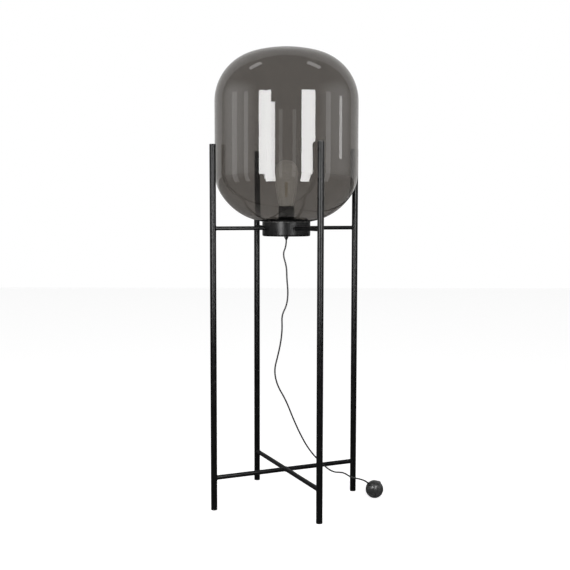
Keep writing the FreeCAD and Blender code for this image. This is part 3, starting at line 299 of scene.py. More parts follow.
@dataclass(frozen=True)
class GlowStrip:
    """The pale yellow coat of an unlit filament, with a fine grain."""

    name: str = "filament_coat"
    slot: str = "filament"
    colour: Colour = (0.86, 0.62, 0.2)

    def make(self) -> bpy.types.Material:
        """The material."""
        nodes = Nodes(self.name)
        nodes.tint(nodes.noise(900.0, 2.0), tuple(part * 0.85 for part in self.colour), self.colour)
        nodes.set(Roughness=0.5, Subsurface_Weight=0.2)
        return nodes.material


@dataclass(frozen=True)
class Coating:
    """A finish as it is used: its material, and the record's material slot that it belongs to."""

    material: bpy.types.Material
    slot: str


class Palette:
    """Every finish of the lamp, made once and handed out by name."""

    def __init__(self) -> None:
        """Make all the materials."""
        finishes = [
            PowderCoat(),
            MouldedPlastic("gloss_black_plastic", "black_holder", (0.006, 0.006, 0.006), 0.16,
                           0.000006, 400.0),
            MouldedPlastic("satin_grey_plastic", "black_plastic", (0.05, 0.05, 0.0505), 0.27,
                           0.000008, 500.0),
            MouldedPlastic("satin_black_plastic", "black_plastic", (0.011, 0.011, 0.011), 0.32),
            MouldedPlastic("matt_black_rubber", "dark_rubber", (0.016, 0.016, 0.0155), 0.62, 0.00004, 900.0),
            MouldedPlastic("grey_silicone", "grey_silicone", (0.06, 0.06, 0.058), 0.48),
            MouldedPlastic("black_cord_sheath", "black_cord", (0.005, 0.005, 0.005), 0.45, 0.00003, 700.0),
            MouldedPlastic("brown_lead", "lead_sheath", (0.12, 0.05, 0.02), 0.4),
            MouldedPlastic("white_insulator", "insulator", (0.5, 0.49, 0.46), 0.35),
            MouldedPlastic("black_insulator", "insulator", (0.01, 0.01, 0.012), 0.15),
            BareMetal("nickel_plate", "nickel", (0.68, 0.66, 0.62), 0.22),
            BareMetal("brass", "brass", (0.72, 0.52, 0.22), 0.26),
            BareMetal("zinc_plate", "zinc_steel", (0.58, 0.59, 0.6), 0.34),
            BlownGlass("smoked_glass", "smoked_glass", (0.305, 0.290, 0.274), 0.0, 0.00012, 5.0),
            BlownGlass("bulb_glass", "bulb_glass", (0.97, 0.97, 0.95), 0.02, haze=0.12, coat=1.0, glow=0.08),
            GlowStrip(),
        ]
        self.coatings = {finish.name: Coating(finish.make(), finish.slot) for finish in finishes}

    def __getitem__(self, name: str) -> Coating:
        """The finish of that name."""
        return self.coatings[name]


# ---------------------------------------------------------------- mesh helpers


def placed(name: str, data: bpy.types.ID) -> bpy.types.Object:
    """Put a mesh, curve, light or camera in the scene as a new object."""
    item = bpy.data.objects.new(name, data)
    bpy.context.scene.collection.objects.link(item)
    return item


def meshed(mesh: bmesh.types.BMesh, name: str) -> bpy.types.Mesh:
    """Turn a bmesh into mesh data, and free the bmesh."""
    data = bpy.data.meshes.new(name)
    mesh.to_mesh(data)
    mesh.free()
    return data


def circle(radius: float, height: float, steps: int) -> list[Vector]:
    """Points on a level ring round the Z axis."""
    turns = [2 * math.pi * step / steps for step in range(steps)]
    return [Vector((radius * math.cos(turn), radius * math.sin(turn), height)) for turn in turns]


def bow(centre: Ring, radius: float, start: float, end: float, count: int) -> list[Ring]:
    """Points on an arc of a profile.

    Args:
        centre: the arc's centre, as radius and height.
        radius: the arc's radius.
        start: the first angle in degrees.
        end: the last angle in degrees.
        count: how many steps the arc has.

    Returns:
        The points, both ends included.
    """
    angles = [math.radians(start + (end - start) * step / count) for step in range(count + 1)]
    return [(centre[0] + radius * math.cos(angle), centre[1] + radius * math.sin(angle))
            for angle in angles]


def softened(corners: Sequence[Point], closed: bool = False, count: int = 4) -> list[Ring]:
    """A profile whose corners are rounded off.

    Args:
        corners: each corner's radius from the axis, its height and how much is rounded off.
        closed: whether the last corner joins the first.
        count: how many steps each rounded corner has.

    Returns:
        The profile's points.
    """
    points = []
    for index, (across, height, round_off) in enumerate(corners):
        here = Vector((across, height))
        if not round_off or (not closed and index in (0, len(corners) - 1)):
            points.append((across, height))
            continue
        before = Vector(corners[index - 1][:2]) - here
        after = Vector(corners[(index + 1) % len(corners)][:2]) - here
        start = here + before.normalized() * min(round_off, before.length * 0.49)
        end = here + after.normalized() * min(round_off, after.length * 0.49)
        for step in range(count + 1):
            share = step / count
            points.append(tuple(start * (1 - share) ** 2 + here * 2 * share * (1 - share) + end * share ** 2))
    return points


def spun(profile: Sequence[Ring], steps: int = 64, closed: bool = False) -> bmesh.types.BMesh:
    """Spin a profile of radius and height about the Z axis.

    Args:
        profile: the profile's points.
        steps: how many segments go round.
        closed: whether the profile's last point joins its first.

    Returns:
        The spun mesh, with its poles merged and its faces outwards.
    """
    mesh = bmesh.new()
    verts = [mesh.verts.new((max(radius, 0.0), 0.0, height)) for radius, height in profile]
    edges = [mesh.edges.new(pair) for pair in zip(verts, verts[1:])]
    if closed:
        edges.append(mesh.edges.new((verts[-1], verts[0])))
    bmesh.ops.spin(mesh, geom=verts + edges, cent=(0, 0, 0), axis=(0, 0, 1),
                   angle=2 * math.pi, steps=steps, use_merge=True)
    bmesh.ops.remove_doubles(mesh, verts=mesh.verts, dist=1e-6)
    bmesh.ops.recalc_face_normals(mesh, faces=mesh.faces)
    return mesh


def skinned(rings: Sequence[Sequence[Vector]], looped: bool = False,
            capped: bool = True) -> bmesh.types.BMesh:
    """A surface over rings of points that all have the same number of points.

    Args:
        rings: the rings, one after another.
        looped: whether the last ring joins the first.
        capped: whether the first and last ring are filled.

    Returns:
        The mesh, with its faces outwards.
    """
    mesh = bmesh.new()
    rows = [[mesh.verts.new(point) for point in ring] for ring in rings]
    pairs = list(zip(rows, rows[1:])) + ([(rows[-1], rows[0])] if looped else [])
    for low, high in pairs:
        for index in range(len(low)):
            after = (index + 1) % len(low)
            mesh.faces.new((low[index], low[after], high[after], high[index]))
    if capped and not looped:
        mesh.faces.new(list(reversed(rows[0])))
        mesh.faces.new(rows[-1])
    bmesh.ops.recalc_face_normals(mesh, faces=mesh.faces)
    return mesh


def swept(points: Sequence[Vector], radii: Sequence[float] | float, sides: int = 12,
          looped: bool = False) -> bmesh.types.BMesh:
    """A round bar along a line of points.

    Args:
        points: the line's points.
        radii: the bar's radius, or its radius at each point.
        sides: how many sides the bar has.
        looped: whether the line closes on itself.

    Returns:
        The bar's mesh.
    """
    if isinstance(radii, float):
        radii = [radii] * len(points)
    count = len(points)
    normal, rings = None, []
    for index, point in enumerate(points):
        before = points[index - 1] if looped or index else point
        after = points[(index + 1) % count] if looped or index < count - 1 else point
        way = (after - before).normalized()
        if normal is None:
            normal = way.orthogonal()
        normal = (normal - way * normal.dot(way)).normalized()
        side = way.cross(normal)
        rings.append([point + (normal * math.cos(turn) + side * math.sin(turn)) * radii[index]
                      for turn in (2 * math.pi * step / sides for step in range(sides))])
    if looped:
        twist = min(range(sides), key=lambda shift: (rings[-1][shift] - rings[0][0]).length)
        rings = [[ring[(step + round(twist * index / count)) % sides] for step in range(sides)]
                 for index, ring in enumerate(rings)]
    return skinned(rings, looped)


def joined(meshes: Iterable[bmesh.types.BMesh]) -> bmesh.types.BMesh:
    """Put several meshes into one.

    Args:
        meshes: the meshes, which are freed.

    Returns:
        The one mesh.
    """
    whole = bmesh.new()
    for mesh in meshes:
        data = meshed(mesh, "part")
        whole.from_mesh(data)
        bpy.data.meshes.remove(data)
    return whole


def moved(mesh: bmesh.types.BMesh, matrix: Matrix) -> bmesh.types.BMesh:
    """Move a mesh's points by a matrix."""
    bmesh.ops.transform(mesh, matrix=matrix, verts=mesh.verts)
    return mesh


def carved(mesh: bmesh.types.BMesh, cutters: Sequence[bmesh.types.BMesh]) -> bmesh.types.BMesh:
    """Cut other meshes out of a mesh.

    Args:
        mesh: the mesh that is cut.
        cutters: what is taken away; they are freed.

    Returns:
        The cut mesh.
    """
    pair = [placed("carving", meshed(part, "carving")) for part in (mesh, joined(cutters))]
    cut = pair[0].modifiers.new("cut", "BOOLEAN")
    cut.operation = "DIFFERENCE"
    cut.solver = "EXACT"
    cut.object = pair[1]
    graph = bpy.context.evaluated_depsgraph_get()
    result = bmesh.new()
    result.from_mesh(pair[0].evaluated_get(graph).to_mesh())
    for item in pair:
        data = item.data
        bpy.data.objects.remove(item)
        bpy.data.meshes.remove(data)
    bmesh.ops.recalc_face_normals(result, faces=result.faces)
    return result


def bored(radius: float, start: float, end: float) -> bmesh.types.BMesh:
    """A plain cylinder on the Z axis, for cutting a hole.

    Args:
        radius: its radius.
        start: its lower end.
        end: its upper end.

    Returns:
        The cylinder.
    """
    return spun([(0.0, start), (radius, start), (radius, end), (0.0, end)], 32)


def block(place: Matrix, size: Point) -> bmesh.types.BMesh:
    """A box round the middle of a place.

    Args:
        place: where it is and how it is turned.
        size: its size along X, Y and Z.

    Returns:
        The box.
    """
    mesh = bmesh.new()
    bmesh.ops.create_cube(mesh, size=1.0)
    return moved(mesh, place @ Matrix.Diagonal((*size, 1.0)))


def finished(mesh: bmesh.types.BMesh, name: str, coating: Coating, stands_for: Sequence[str] = (),
             body: Body = Body.FRAME, smooth: float = 35.0) -> bpy.types.Object:
    """Turn a bmesh into a piece of the lamp.

    Args:
        mesh: the bmesh, in the lamp's own frame.
        name: the piece's name.
        coating: its finish.
        stands_for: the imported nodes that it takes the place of.
        body: the body that it rides on.
        smooth: the angle in degrees up to which edges are shaded smooth.

    Returns:
        The piece's object.
    """
    for face in mesh.faces:
        face.smooth = True
    sharp = math.radians(smooth)
    for edge in mesh.edges:
        if len(edge.link_faces) == 2 and edge.calc_face_angle(0.0) > sharp:
            edge.smooth = False
    data = meshed(mesh, name)
    data.materials.append(coating.material)
    piece = placed(name, data)
    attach(piece, body.value)
    if stands_for:
        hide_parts(*stands_for)
    return piece


def dress(names: Iterable[str], material: bpy.types.Material) -> None:
    """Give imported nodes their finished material.

    Args:
        names: the nodes.
        material: the material.
    """
    for name in names:
        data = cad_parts[name].data
        data.materials.clear()
        data.materials.append(material)


# ---------------------------------------------------------------- the studio


@dataclass(frozen=True)
class SoftBox:
    """An upright panel light that stands round the lamp and faces it."""

    name: str
    start: float
    """Its left edge, in degrees from the camera's side of the lamp, positive to the right."""
    end: float
    low: float
    high: float
    radiance: float
    distance: float = 1.1
    fade: float = 0.0
    """The share of its width and height over which it darkens towards each edge."""


@dataclass(frozen=True)
class CeilingBox:
    """A level panel light over one side of the lamp."""

    name: str
    across: float
    away: float
    height: float = 4.0
    length: float = 1.0
    width: float = 0.5
    radiance: float = 2.4


@dataclass
class Studio:
    """A white floor and backdrop, panel lights, and the camera at the photograph's place."""

    distance: float = 2.8131
    height: float = 0.9031
    pitch: float = 4.539
    roll: float = 0.0935
    yaw: float = -0.076
    lens: float = 57.573
    sensor: float = 36.0
    clip_end: float = 60.0
    floor_half: float = 14.0
    floor_albedo: float = 0.8
    floor_mirrored: float = 0.25
    """The floor's albedo as shiny surfaces see it, which keeps their undersides dark."""
    floor_glow: float = 0.85
    backdrop_away: float = 8.0
    backdrop_half: float = 12.8
    backdrop_height: float = 30.0
    backdrop_foot: float = 0.01
    rim_glow: float = 0.42
    layer_gap: float = 0.01
    even_share: float = 0.3
    """How much of a panel's light falls on matt surfaces, which keeps them at a plain level."""
    fill: float = 0.25
    mirrored: float = 0.09
    panels: tuple[SoftBox, ...] = (
        SoftBox("key_left_outer", -39.3, -31.5, 0.890, 1.474, 17.0),
        SoftBox("key_left_middle", -31.5, -21.5, 0.520, 1.470, 17.5),
        SoftBox("key_left_inner", -21.5, -16.0, 0.515, 1.338, 15.5),
        SoftBox("key_right_outer", 34.6, 41.1, 0.895, 1.494, 16.5),
        SoftBox("key_right_inner", 20.9, 34.6, 0.525, 1.490, 17.0),
        SoftBox("edge_left", -86.6, -76.2, 0.649, 1.458, 0.9),
        SoftBox("side_left", -63.2, -56.3, 0.600, 1.450, 1.2),
        SoftBox("front_left", -11.4, -6.0, 0.05, 1.60, 0.8, 3.4),
        SoftBox("front_right", 9.0, 14.4, 0.05, 1.60, 0.8, 3.4),
        SoftBox("side_right", 58.1, 66.3, 0.600, 1.450, 1.3),
        SoftBox("edge_right", 83.3, 89.0, 1.109, 1.379, 4.0),
        SoftBox("wall_left", -122.0, -42.0, 0.05, 3.4, 1.1, 3.2, 0.45),
        SoftBox("wall_right", 44.0, 122.0, 0.05, 3.4, 0.9, 3.2, 0.45),
    )
    ceiling: tuple[CeilingBox, ...] = (
        CeilingBox("ceiling_left", -1.78, -0.05),
        CeilingBox("ceiling_right", 1.55, -0.2),
    )

    def sight(self) -> Vector:
        """The level direction in which the photograph was taken."""
        return Vector((-math.sin(BEARING), math.cos(BEARING), 0.0))

    def rightward(self) -> Vector:
        """The level direction to the picture's right."""
        return Vector((math.cos(BEARING), math.sin(BEARING), 0.0))

    def camera(self) -> None:
        """Set up the camera."""
        pitch, yaw, roll = (math.radians(angle) for angle in (self.pitch, self.yaw, self.roll))
        ahead = (self.rightward() * math.sin(yaw) + self.sight() * math.cos(yaw)) * math.cos(pitch)
        ahead.z = -math.sin(pitch)
        level = self.rightward() * math.cos(yaw) - self.sight() * math.sin(yaw)
        upward = level.cross(ahead)
        across = level * math.cos(roll) + upward * math.sin(roll)
        upright = across.cross(ahead)
        data = bpy.data.cameras.new("camera")
        data.lens = self.lens
        data.sensor_width = self.sensor
        data.clip_end = self.clip_end
        camera = placed("camera", data)
        camera.matrix_world = self.stood(Vector((0, 0, self.height)) - self.sight() * self.distance,
                                         across, upright, -ahead)
        bpy.context.scene.camera = camera

    def stood(self, place: Vector, across: Vector, upright: Vector, back: Vector) -> Matrix:
        """A matrix from a place and the three directions of its axes."""
        return Matrix.Translation(place) @ Matrix((across, upright, back)).transposed().to_4x4()

    @staticmethod
    def combined(tree: bpy.types.NodeTree, operation: str, first: bpy.types.NodeSocket,
                 second: bpy.types.NodeSocket | float, clamp: bool = False) -> bpy.types.NodeSocket:
        """The result of a sum on two numbers.

        Args:
            tree: the node tree.
            operation: the Math node's operation.
            first: the first number's socket.
            second: the second number, or its socket.
            clamp: whether the result stays from 0 to 1.

        Returns:
            The result's socket.
        """
        node = tree.nodes.new("ShaderNodeMath")
        node.operation = operation
        node.use_clamp = clamp
        tree.links.new(first, node.inputs[0])
        if isinstance(second, float):
            node.inputs[1].default_value = second
        else:
            tree.links.new(second, node.inputs[1])
        return node.outputs[0]

    def seen(self, tree: bpy.types.NodeTree, *kinds: str) -> bpy.types.NodeSocket:
        """A number that is 1 for rays of some kinds and 0 for the others.

        Args:
            tree: the node tree.
            kinds: the Light Path node's outputs.

        Returns:
            The number's socket.
        """
        path = tree.nodes.new("ShaderNodeLightPath")
        total = path.outputs[kinds[0]]
        for kind in kinds[1:]:
            total = self.combined(tree, "ADD", total, path.outputs[kind], True)
        return total

    def white(self, tree: bpy.types.NodeTree, dim: bpy.types.NodeSocket) -> bpy.types.NodeSocket:
        """A number that is 1 where the camera or clear glass sees it, and another number elsewhere."""
        return self.combined(tree, "MAXIMUM", dim, self.seen(tree, "Is Camera Ray", "Is Transmission Ray"))

    def scaled(self, tree: bpy.types.NodeTree, value: bpy.types.NodeSocket, low: float,
               high: float) -> bpy.types.NodeSocket:
        """Spread a number from 0 to 1 over another range."""
        spread = tree.nodes.new("ShaderNodeMapRange")
        spread.inputs["To Min"].default_value = low
        spread.inputs["To Max"].default_value = high
        tree.links.new(value, spread.inputs["Value"])
        return spread.outputs["Result"]

    def floor(self) -> None:
        """A wide white floor that keeps the lamp's shadow."""
        mesh = bmesh.new()
        bmesh.ops.create_grid(mesh, x_segments=1, y_segments=1, size=self.floor_half)
        nodes = Nodes("studio_floor")
        nodes.set(Roughness=0.8, Specular_IOR_Level=0.0)
        nodes.link(self.scaled(nodes.tree, self.seen(nodes.tree, "Is Glossy Ray"), self.floor_albedo,
                               self.floor_mirrored),
                   nodes.shader.inputs["Base Color"])
        glow = nodes.tree.nodes.new("ShaderNodeEmission")
        nodes.link(self.scaled(nodes.tree, self.seen(nodes.tree, "Is Camera Ray", "Is Transmission Ray"),
                               0.0, self.floor_glow), glow.inputs["Strength"])
        both = nodes.tree.nodes.new("ShaderNodeAddShader")
        nodes.link(nodes.shader.outputs["BSDF"], both.inputs[0])
        nodes.link(glow.outputs[0], both.inputs[1])
        nodes.link(both.outputs[0], nodes.output.inputs["Surface"])
        self.staged(mesh, "studio_floor", nodes.material)

    def backdrop(self) -> None:
        """A white wall far behind the lamp, which its glass mirrors at the rims."""
        mesh = bmesh.new()
        corners = [(-1, 0), (1, 0), (1, 1), (-1, 1)]
        middle, half = self.sight() * self.backdrop_away, self.rightward() * self.backdrop_half
        wall = []
        for side, level in corners:
            height = self.backdrop_foot + level * self.backdrop_height
            wall.append(mesh.verts.new(middle + half * side + Vector((0, 0, height))))
        mesh.faces.new(wall)
        nodes = Nodes("studio_backdrop")
        nodes.tree.nodes.remove(nodes.shader)
        glow = nodes.tree.nodes.new("ShaderNodeEmission")
        mirrored = self.scaled(nodes.tree, self.seen(nodes.tree, "Is Glossy Ray"), 0.0, self.rim_glow)
        nodes.link(self.white(nodes.tree, mirrored), glow.inputs["Strength"])
        nodes.link(glow.outputs[0], nodes.output.inputs["Surface"])
        self.staged(mesh, "studio_backdrop", nodes.material)

    def staged(self, mesh: bmesh.types.BMesh, name: str, material: bpy.types.Material) -> None:
        """Put a piece of the studio in the scene."""
        data = meshed(mesh, name)
        data.materials.append(material)
        piece = placed(name, data)

    def surroundings(self) -> None:
        """White surroundings where they are seen, dim ones in reflections, and a soft fill."""
        world = bpy.data.worlds.new("studio")
        bpy.context.scene.world = world
        world.use_nodes = True
        tree = world.node_tree
        tree.nodes.clear()
        output = tree.nodes.new("ShaderNodeOutputWorld")
        plain = self.scaled(tree, self.seen(tree, "Is Glossy Ray"), self.fill, self.mirrored)
        background = tree.nodes.new("ShaderNodeBackground")
        background.inputs["Color"].default_value = (1.0, 1.0, 1.0, 1.0)
        tree.links.new(self.white(tree, plain), background.inputs["Strength"])
        tree.links.new(background.outputs[0], output.inputs["Surface"])

    def faded(self, data: bpy.types.AreaLight, fade: float) -> None:
        """Let a panel darken softly towards its edges.

        Args:
            data: the panel's light.
            fade: the share of its width and height over which it darkens.
        """
        data.use_nodes = True
        tree = data.node_tree
        place = tree.nodes.new("ShaderNodeNewGeometry")
        axes = tree.nodes.new("ShaderNodeSeparateXYZ")
        tree.links.new(place.outputs["Parametric"], axes.inputs[0])
        shares = []
        for index in (0, 1):
            rise = tree.nodes.new("ShaderNodeMapRange")
            rise.interpolation_type = "SMOOTHSTEP"
            rise.inputs["From Max"].default_value = fade
            tree.links.new(self.combined(tree, "PINGPONG", axes.outputs[index], 0.5), rise.inputs["Value"])
            shares.append(rise.outputs[0])
        tree.links.new(self.combined(tree, "MULTIPLY", *shares), tree.nodes["Emission"].inputs["Strength"])

    def panel(self, name: str, width: float, height: float, radiance: float, matrix: Matrix,
              fade: float = 0.0) -> None:
        """A rectangular light that the camera doesn't see, most of it only for mirrored light.

        Args:
            name: the light's name.
            width: its width.
            height: its height.
            radiance: how bright it looks in a mirror.
            matrix: its place; it shines along its own -Z.
            fade: the share of its sides over which it darkens towards each edge.
        """
        for part, share in (("even", self.even_share), ("mirrored", 1.0 - self.even_share)):
            data = bpy.data.lights.new(f"{name}_{part}", "AREA")
            data.shape = "RECTANGLE"
            data.size = width
            data.size_y = height
            data.energy = radiance * share * math.pi * width * height
            light = placed(f"{name}_{part}", data)
            light.matrix_world = matrix @ Matrix.Translation((0, 0, 0 if part == "even" else self.layer_gap))
            light.visible_camera = False
            light.visible_transmission = False
            light.visible_diffuse = part == "even"
            if fade:
                self.faded(data, fade)

    def lights(self) -> None:
        """The upright panels and the two over the sides."""
        for box in self.panels:
            middle = math.radians((box.start + box.end) / 2)
            out = self.rightward() * math.sin(middle) - self.sight() * math.cos(middle)
            across = Vector((-out.y, out.x, 0.0))
            width = 2 * box.distance * math.tan(math.radians((box.end - box.start) / 2))
            place = out * box.distance + Vector((0, 0, (box.low + box.high) / 2))
            self.panel(box.name, width, box.high - box.low, box.radiance,
                       self.stood(place, across, Vector((0, 0, 1)), out), box.fade)
        for box in self.ceiling:
            place = self.rightward() * box.across + self.sight() * box.away + Vector((0, 0, box.height))
            self.panel(box.name, box.length, box.width, box.radiance,
                       self.stood(place, self.rightward(), self.sight(), Vector((0, 0, 1))))

    def build(self) -> None:
        """Make the whole studio."""
        bpy.context.scene.view_settings.view_transform = "Standard"
        self.floor()
        self.backdrop()
        self.surroundings()
        self.lights()


# ---------------------------------------------------------------- cords


@dataclass
class Flex:
    """The supply cord: the stretch from the dish to the ball, and the spare lead behind it."""

    diameter: float = 0.0048
    ball: Point = (281.4, 24.1, 28.0)
    turn: float = 41.3
    tilt: float = 40.7
    reach: float = 30.5
    hanging: tuple[Point, ...] = (
        (0.0, 0.0, 820.5),
        (0.0, 0.0, 801.0),
        (-11.0, 0.0, 776.0),
        (1.0, 0.0, 738.0),
        (2.0, 0.5, 698.0),
        (6.0, 1.0, 655.0),
        (2.0, 1.0, 617.0),
        (-14.0, 1.0, 585.0),
        (-12.0, 1.0, 545.0),
        (-16.0, 1.0, 504.0),
        (-25.0, 0.5, 461.0),
        (-37.5, 0.0, 413.0),
        (-28.0, 0.0, 366.0),
        (-1.0, 0.0, 320.0),
        (21.0, 0.0, 264.0),
        (43.0, 0.0, 214.0),
        (71.0, 0.0, 163.0),
        (107.0, 0.0, 122.0),
        (146.0, 0.0, 88.5),
        (181.0, 0.0, 89.5),
        (204.0, 0.0, 73.0),
        (233.0, -1.0, 68.0),
    )
    hank_run: float = 72.0
    hank_inner: float = 14.4
    hank_step: float = 5.6
    hank_draw: float = 5.0
    hank_level: float = 3.4
    hank_lift: float = 5.3
    hank_turn: float = -5.0
    fold_ease: float = 1.02
    """How much wider than the fold its control points lie, so that its bend stays as wide."""
    last_fold: float = 28.8
    """How wide the last half turn is, back over the hank to the plug."""
    plug_lead: float = 10.0
    """How much of the lead runs straight into the plug."""
    hank_lead: float = 12.0
    """How much of it runs straight into the hank."""
    ball_leads: tuple[float, float] = (20.8, 8.6)
    """How much runs straight into the ball, and out of it."""
    hank_start: tuple[float, float] = (308.0, 68.5)
    plug_entry: Point = (-5.0, 42.0, 18.5)
    swing: float = 20.9

    def place(self, across: float, away: float, height: float) -> Vector:
        """A point of the swing plane in the lamp's frame.

        Args:
            across: distance to the right, in millimetres.
            away: distance behind the axis.
            height: height over the floor.

        Returns:
            The point in metres.
        """
        turn = math.radians(self.swing)
        return Vector((across * math.cos(turn) - away * math.sin(turn),
                       across * math.sin(turn) + away * math.cos(turn), height)) * MM

    def ball_line(self, reach: float) -> Vector:
        """A point on the cord's line through the ball, so far past its centre."""
        turn, tilt = math.radians(self.turn), math.radians(self.tilt)
        return self.place(self.ball[0] + reach * math.cos(tilt) * math.cos(turn),
                          self.ball[1] + reach * math.cos(tilt) * math.sin(turn),
                          self.ball[2] - reach * math.sin(tilt))

    def hank_place(self, across: float, along: float, height: float) -> Vector:
        """A point given in the hank's own axes: across its runs, along them, and up."""
        turn = math.radians(self.hank_turn)
        half = self.hank_inner + 1.5 * self.hank_step
        left = self.hank_start[0] - half * math.cos(turn)
        near = self.hank_start[1] - half * math.sin(turn)
        return self.place(left + across * math.cos(turn) - along * math.sin(turn),
                          near + across * math.sin(turn) + along * math.cos(turn), height)

    def hank_frame(self, across: float, along: float, height: float) -> Matrix:
        """A point in the hank's own axes, with X across its runs and Y along them."""
        turn = math.radians(self.swing + self.hank_turn)
        return Matrix.Translation(self.hank_place(across, along, height)) @ Matrix.Rotation(turn, 4, "Z")

    def hank_points(self) -> list[Vector]:
        """The wound part of the lead: runs drawn in at the waist, with a half turn at each end.

        Returns:
            The spline's points, in metres.
        """
        low, mid, top = (self.hank_level + self.hank_lift * layer for layer in (0, 1, 2))
        inner, step = self.hank_inner, self.hank_step
        runs = [
            (inner + 1.5 * step, 1, low, low),
            (-(inner + step), -1, low, low),
            (inner + 0.5 * step, 1, low, low),
            (-inner, -1, low, mid),
            (inner, 1, mid, mid),
            (-(inner + step), -1, mid, mid),
            (inner + step, 1, mid, top),
        ]
        points = []
        for index, (across, way, start, end) in enumerate(runs):
            near, far = (0.0, self.hank_run) if way > 0 else (self.hank_run, 0.0)
            waist = across - math.copysign(self.hank_draw, across)
            for share in ((0.25, 0.5, 0.75) if index else (0.0, 0.12, 0.25, 0.5, 0.75)):
                pull = math.sin(math.pi * share) ** 2
                points.append(self.hank_place(across + (waist - across) * pull,
                                              near + (far - near) * share, start + (end - start) * share))
            after = runs[index + 1][0] if index + 1 < len(runs) else inner + step - self.last_fold
            points += self.fold_points(across, after, far, way, end)
        across, along, height = self.plug_entry
        points.append(self.hank_place(-7.0, self.hank_run - 12.0, top + 1.5))
        points.append(self.hank_place(across, along + self.plug_lead, height))
        points.append(self.hank_place(across, along, height))
        return points

    def fold_points(self, start: float, end: float, along: float, way: int, height: float) -> list[Vector]:
        """The control points of one half turn, between two runs.

        Args:
            start: where across the turn starts.
            end: where across it ends.
            along: the turn's foot along the runs.
            way: 1 where the turn bulges away from the lamp, or -1.
            height: the turn's level.

        Returns:
            The points, both ends included.
        """
        middle, radius = (start + end) / 2, abs(start - end) / 2 * self.fold_ease
        side = math.copysign(1.0, start - end)
        return [self.hank_place(middle + side * radius * math.cos(angle),
                                along + way * radius * math.sin(angle), height)
                for angle in (math.radians(step) for step in range(0, 181, 15))]

    def curve(self, name: str, points: Sequence[Vector], sheath: Coating) -> bpy.types.Object:
        """A round cord along a smooth spline.

        Args:
            name: the piece's name.
            points: the spline's control points.
            sheath: the sheath's finish.

        Returns:
            The cord's object.
        """
        data = bpy.data.curves.new(name, "CURVE")
        data.dimensions = "3D"
        data.bevel_depth = self.diameter / 2
        data.bevel_resolution = 5
        data.resolution_u = 10
        data.use_fill_caps = True
        spline = data.splines.new("NURBS")
        spline.points.add(len(points) - 1)
        for control, point in zip(spline.points, points):
            control.co = (*point, 1.0)
        spline.order_u = 3
        spline.use_endpoint_u = True
        data.materials.append(sheath.material)
        piece = placed(name, data)
        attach(piece, Body.FRAME.value)
        return piece

    def build(self, palette: Palette, on_cord: Sequence[bpy.types.Object | str],
              on_lead: Sequence[bpy.types.Object]) -> None:
        """Make both stretches.

        Args:
            palette: the finishes.
            on_cord: the pieces on the stretch that hangs; not used.
            on_lead: the pieces on the spare lead; not used.
        """
        sheath = palette["black_cord_sheath"]
        hanging = [self.place(*point) for point in self.hanging]
        hanging += [self.ball_line(-self.reach - self.ball_leads[0]), self.ball_line(-self.reach)]
        cord = self.curve("hanging_cord", hanging, sheath)
        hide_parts("lamp_cord")
        turn = math.radians(self.hank_turn)
        across = self.hank_start[0] + self.hank_lead * math.sin(turn)
        away = self.hank_start[1] - self.hank_lead * math.cos(turn)
        lead = [self.ball_line(self.reach), self.ball_line(self.reach + self.ball_leads[1]),
                self.place(across, away, self.hank_level)]
        lead += self.hank_points()
        spare = self.curve("mains_cord", lead, sheath)
        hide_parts("mains_lead", "cord_hank")


# ---------------------------------------------------------------- the glass vessel


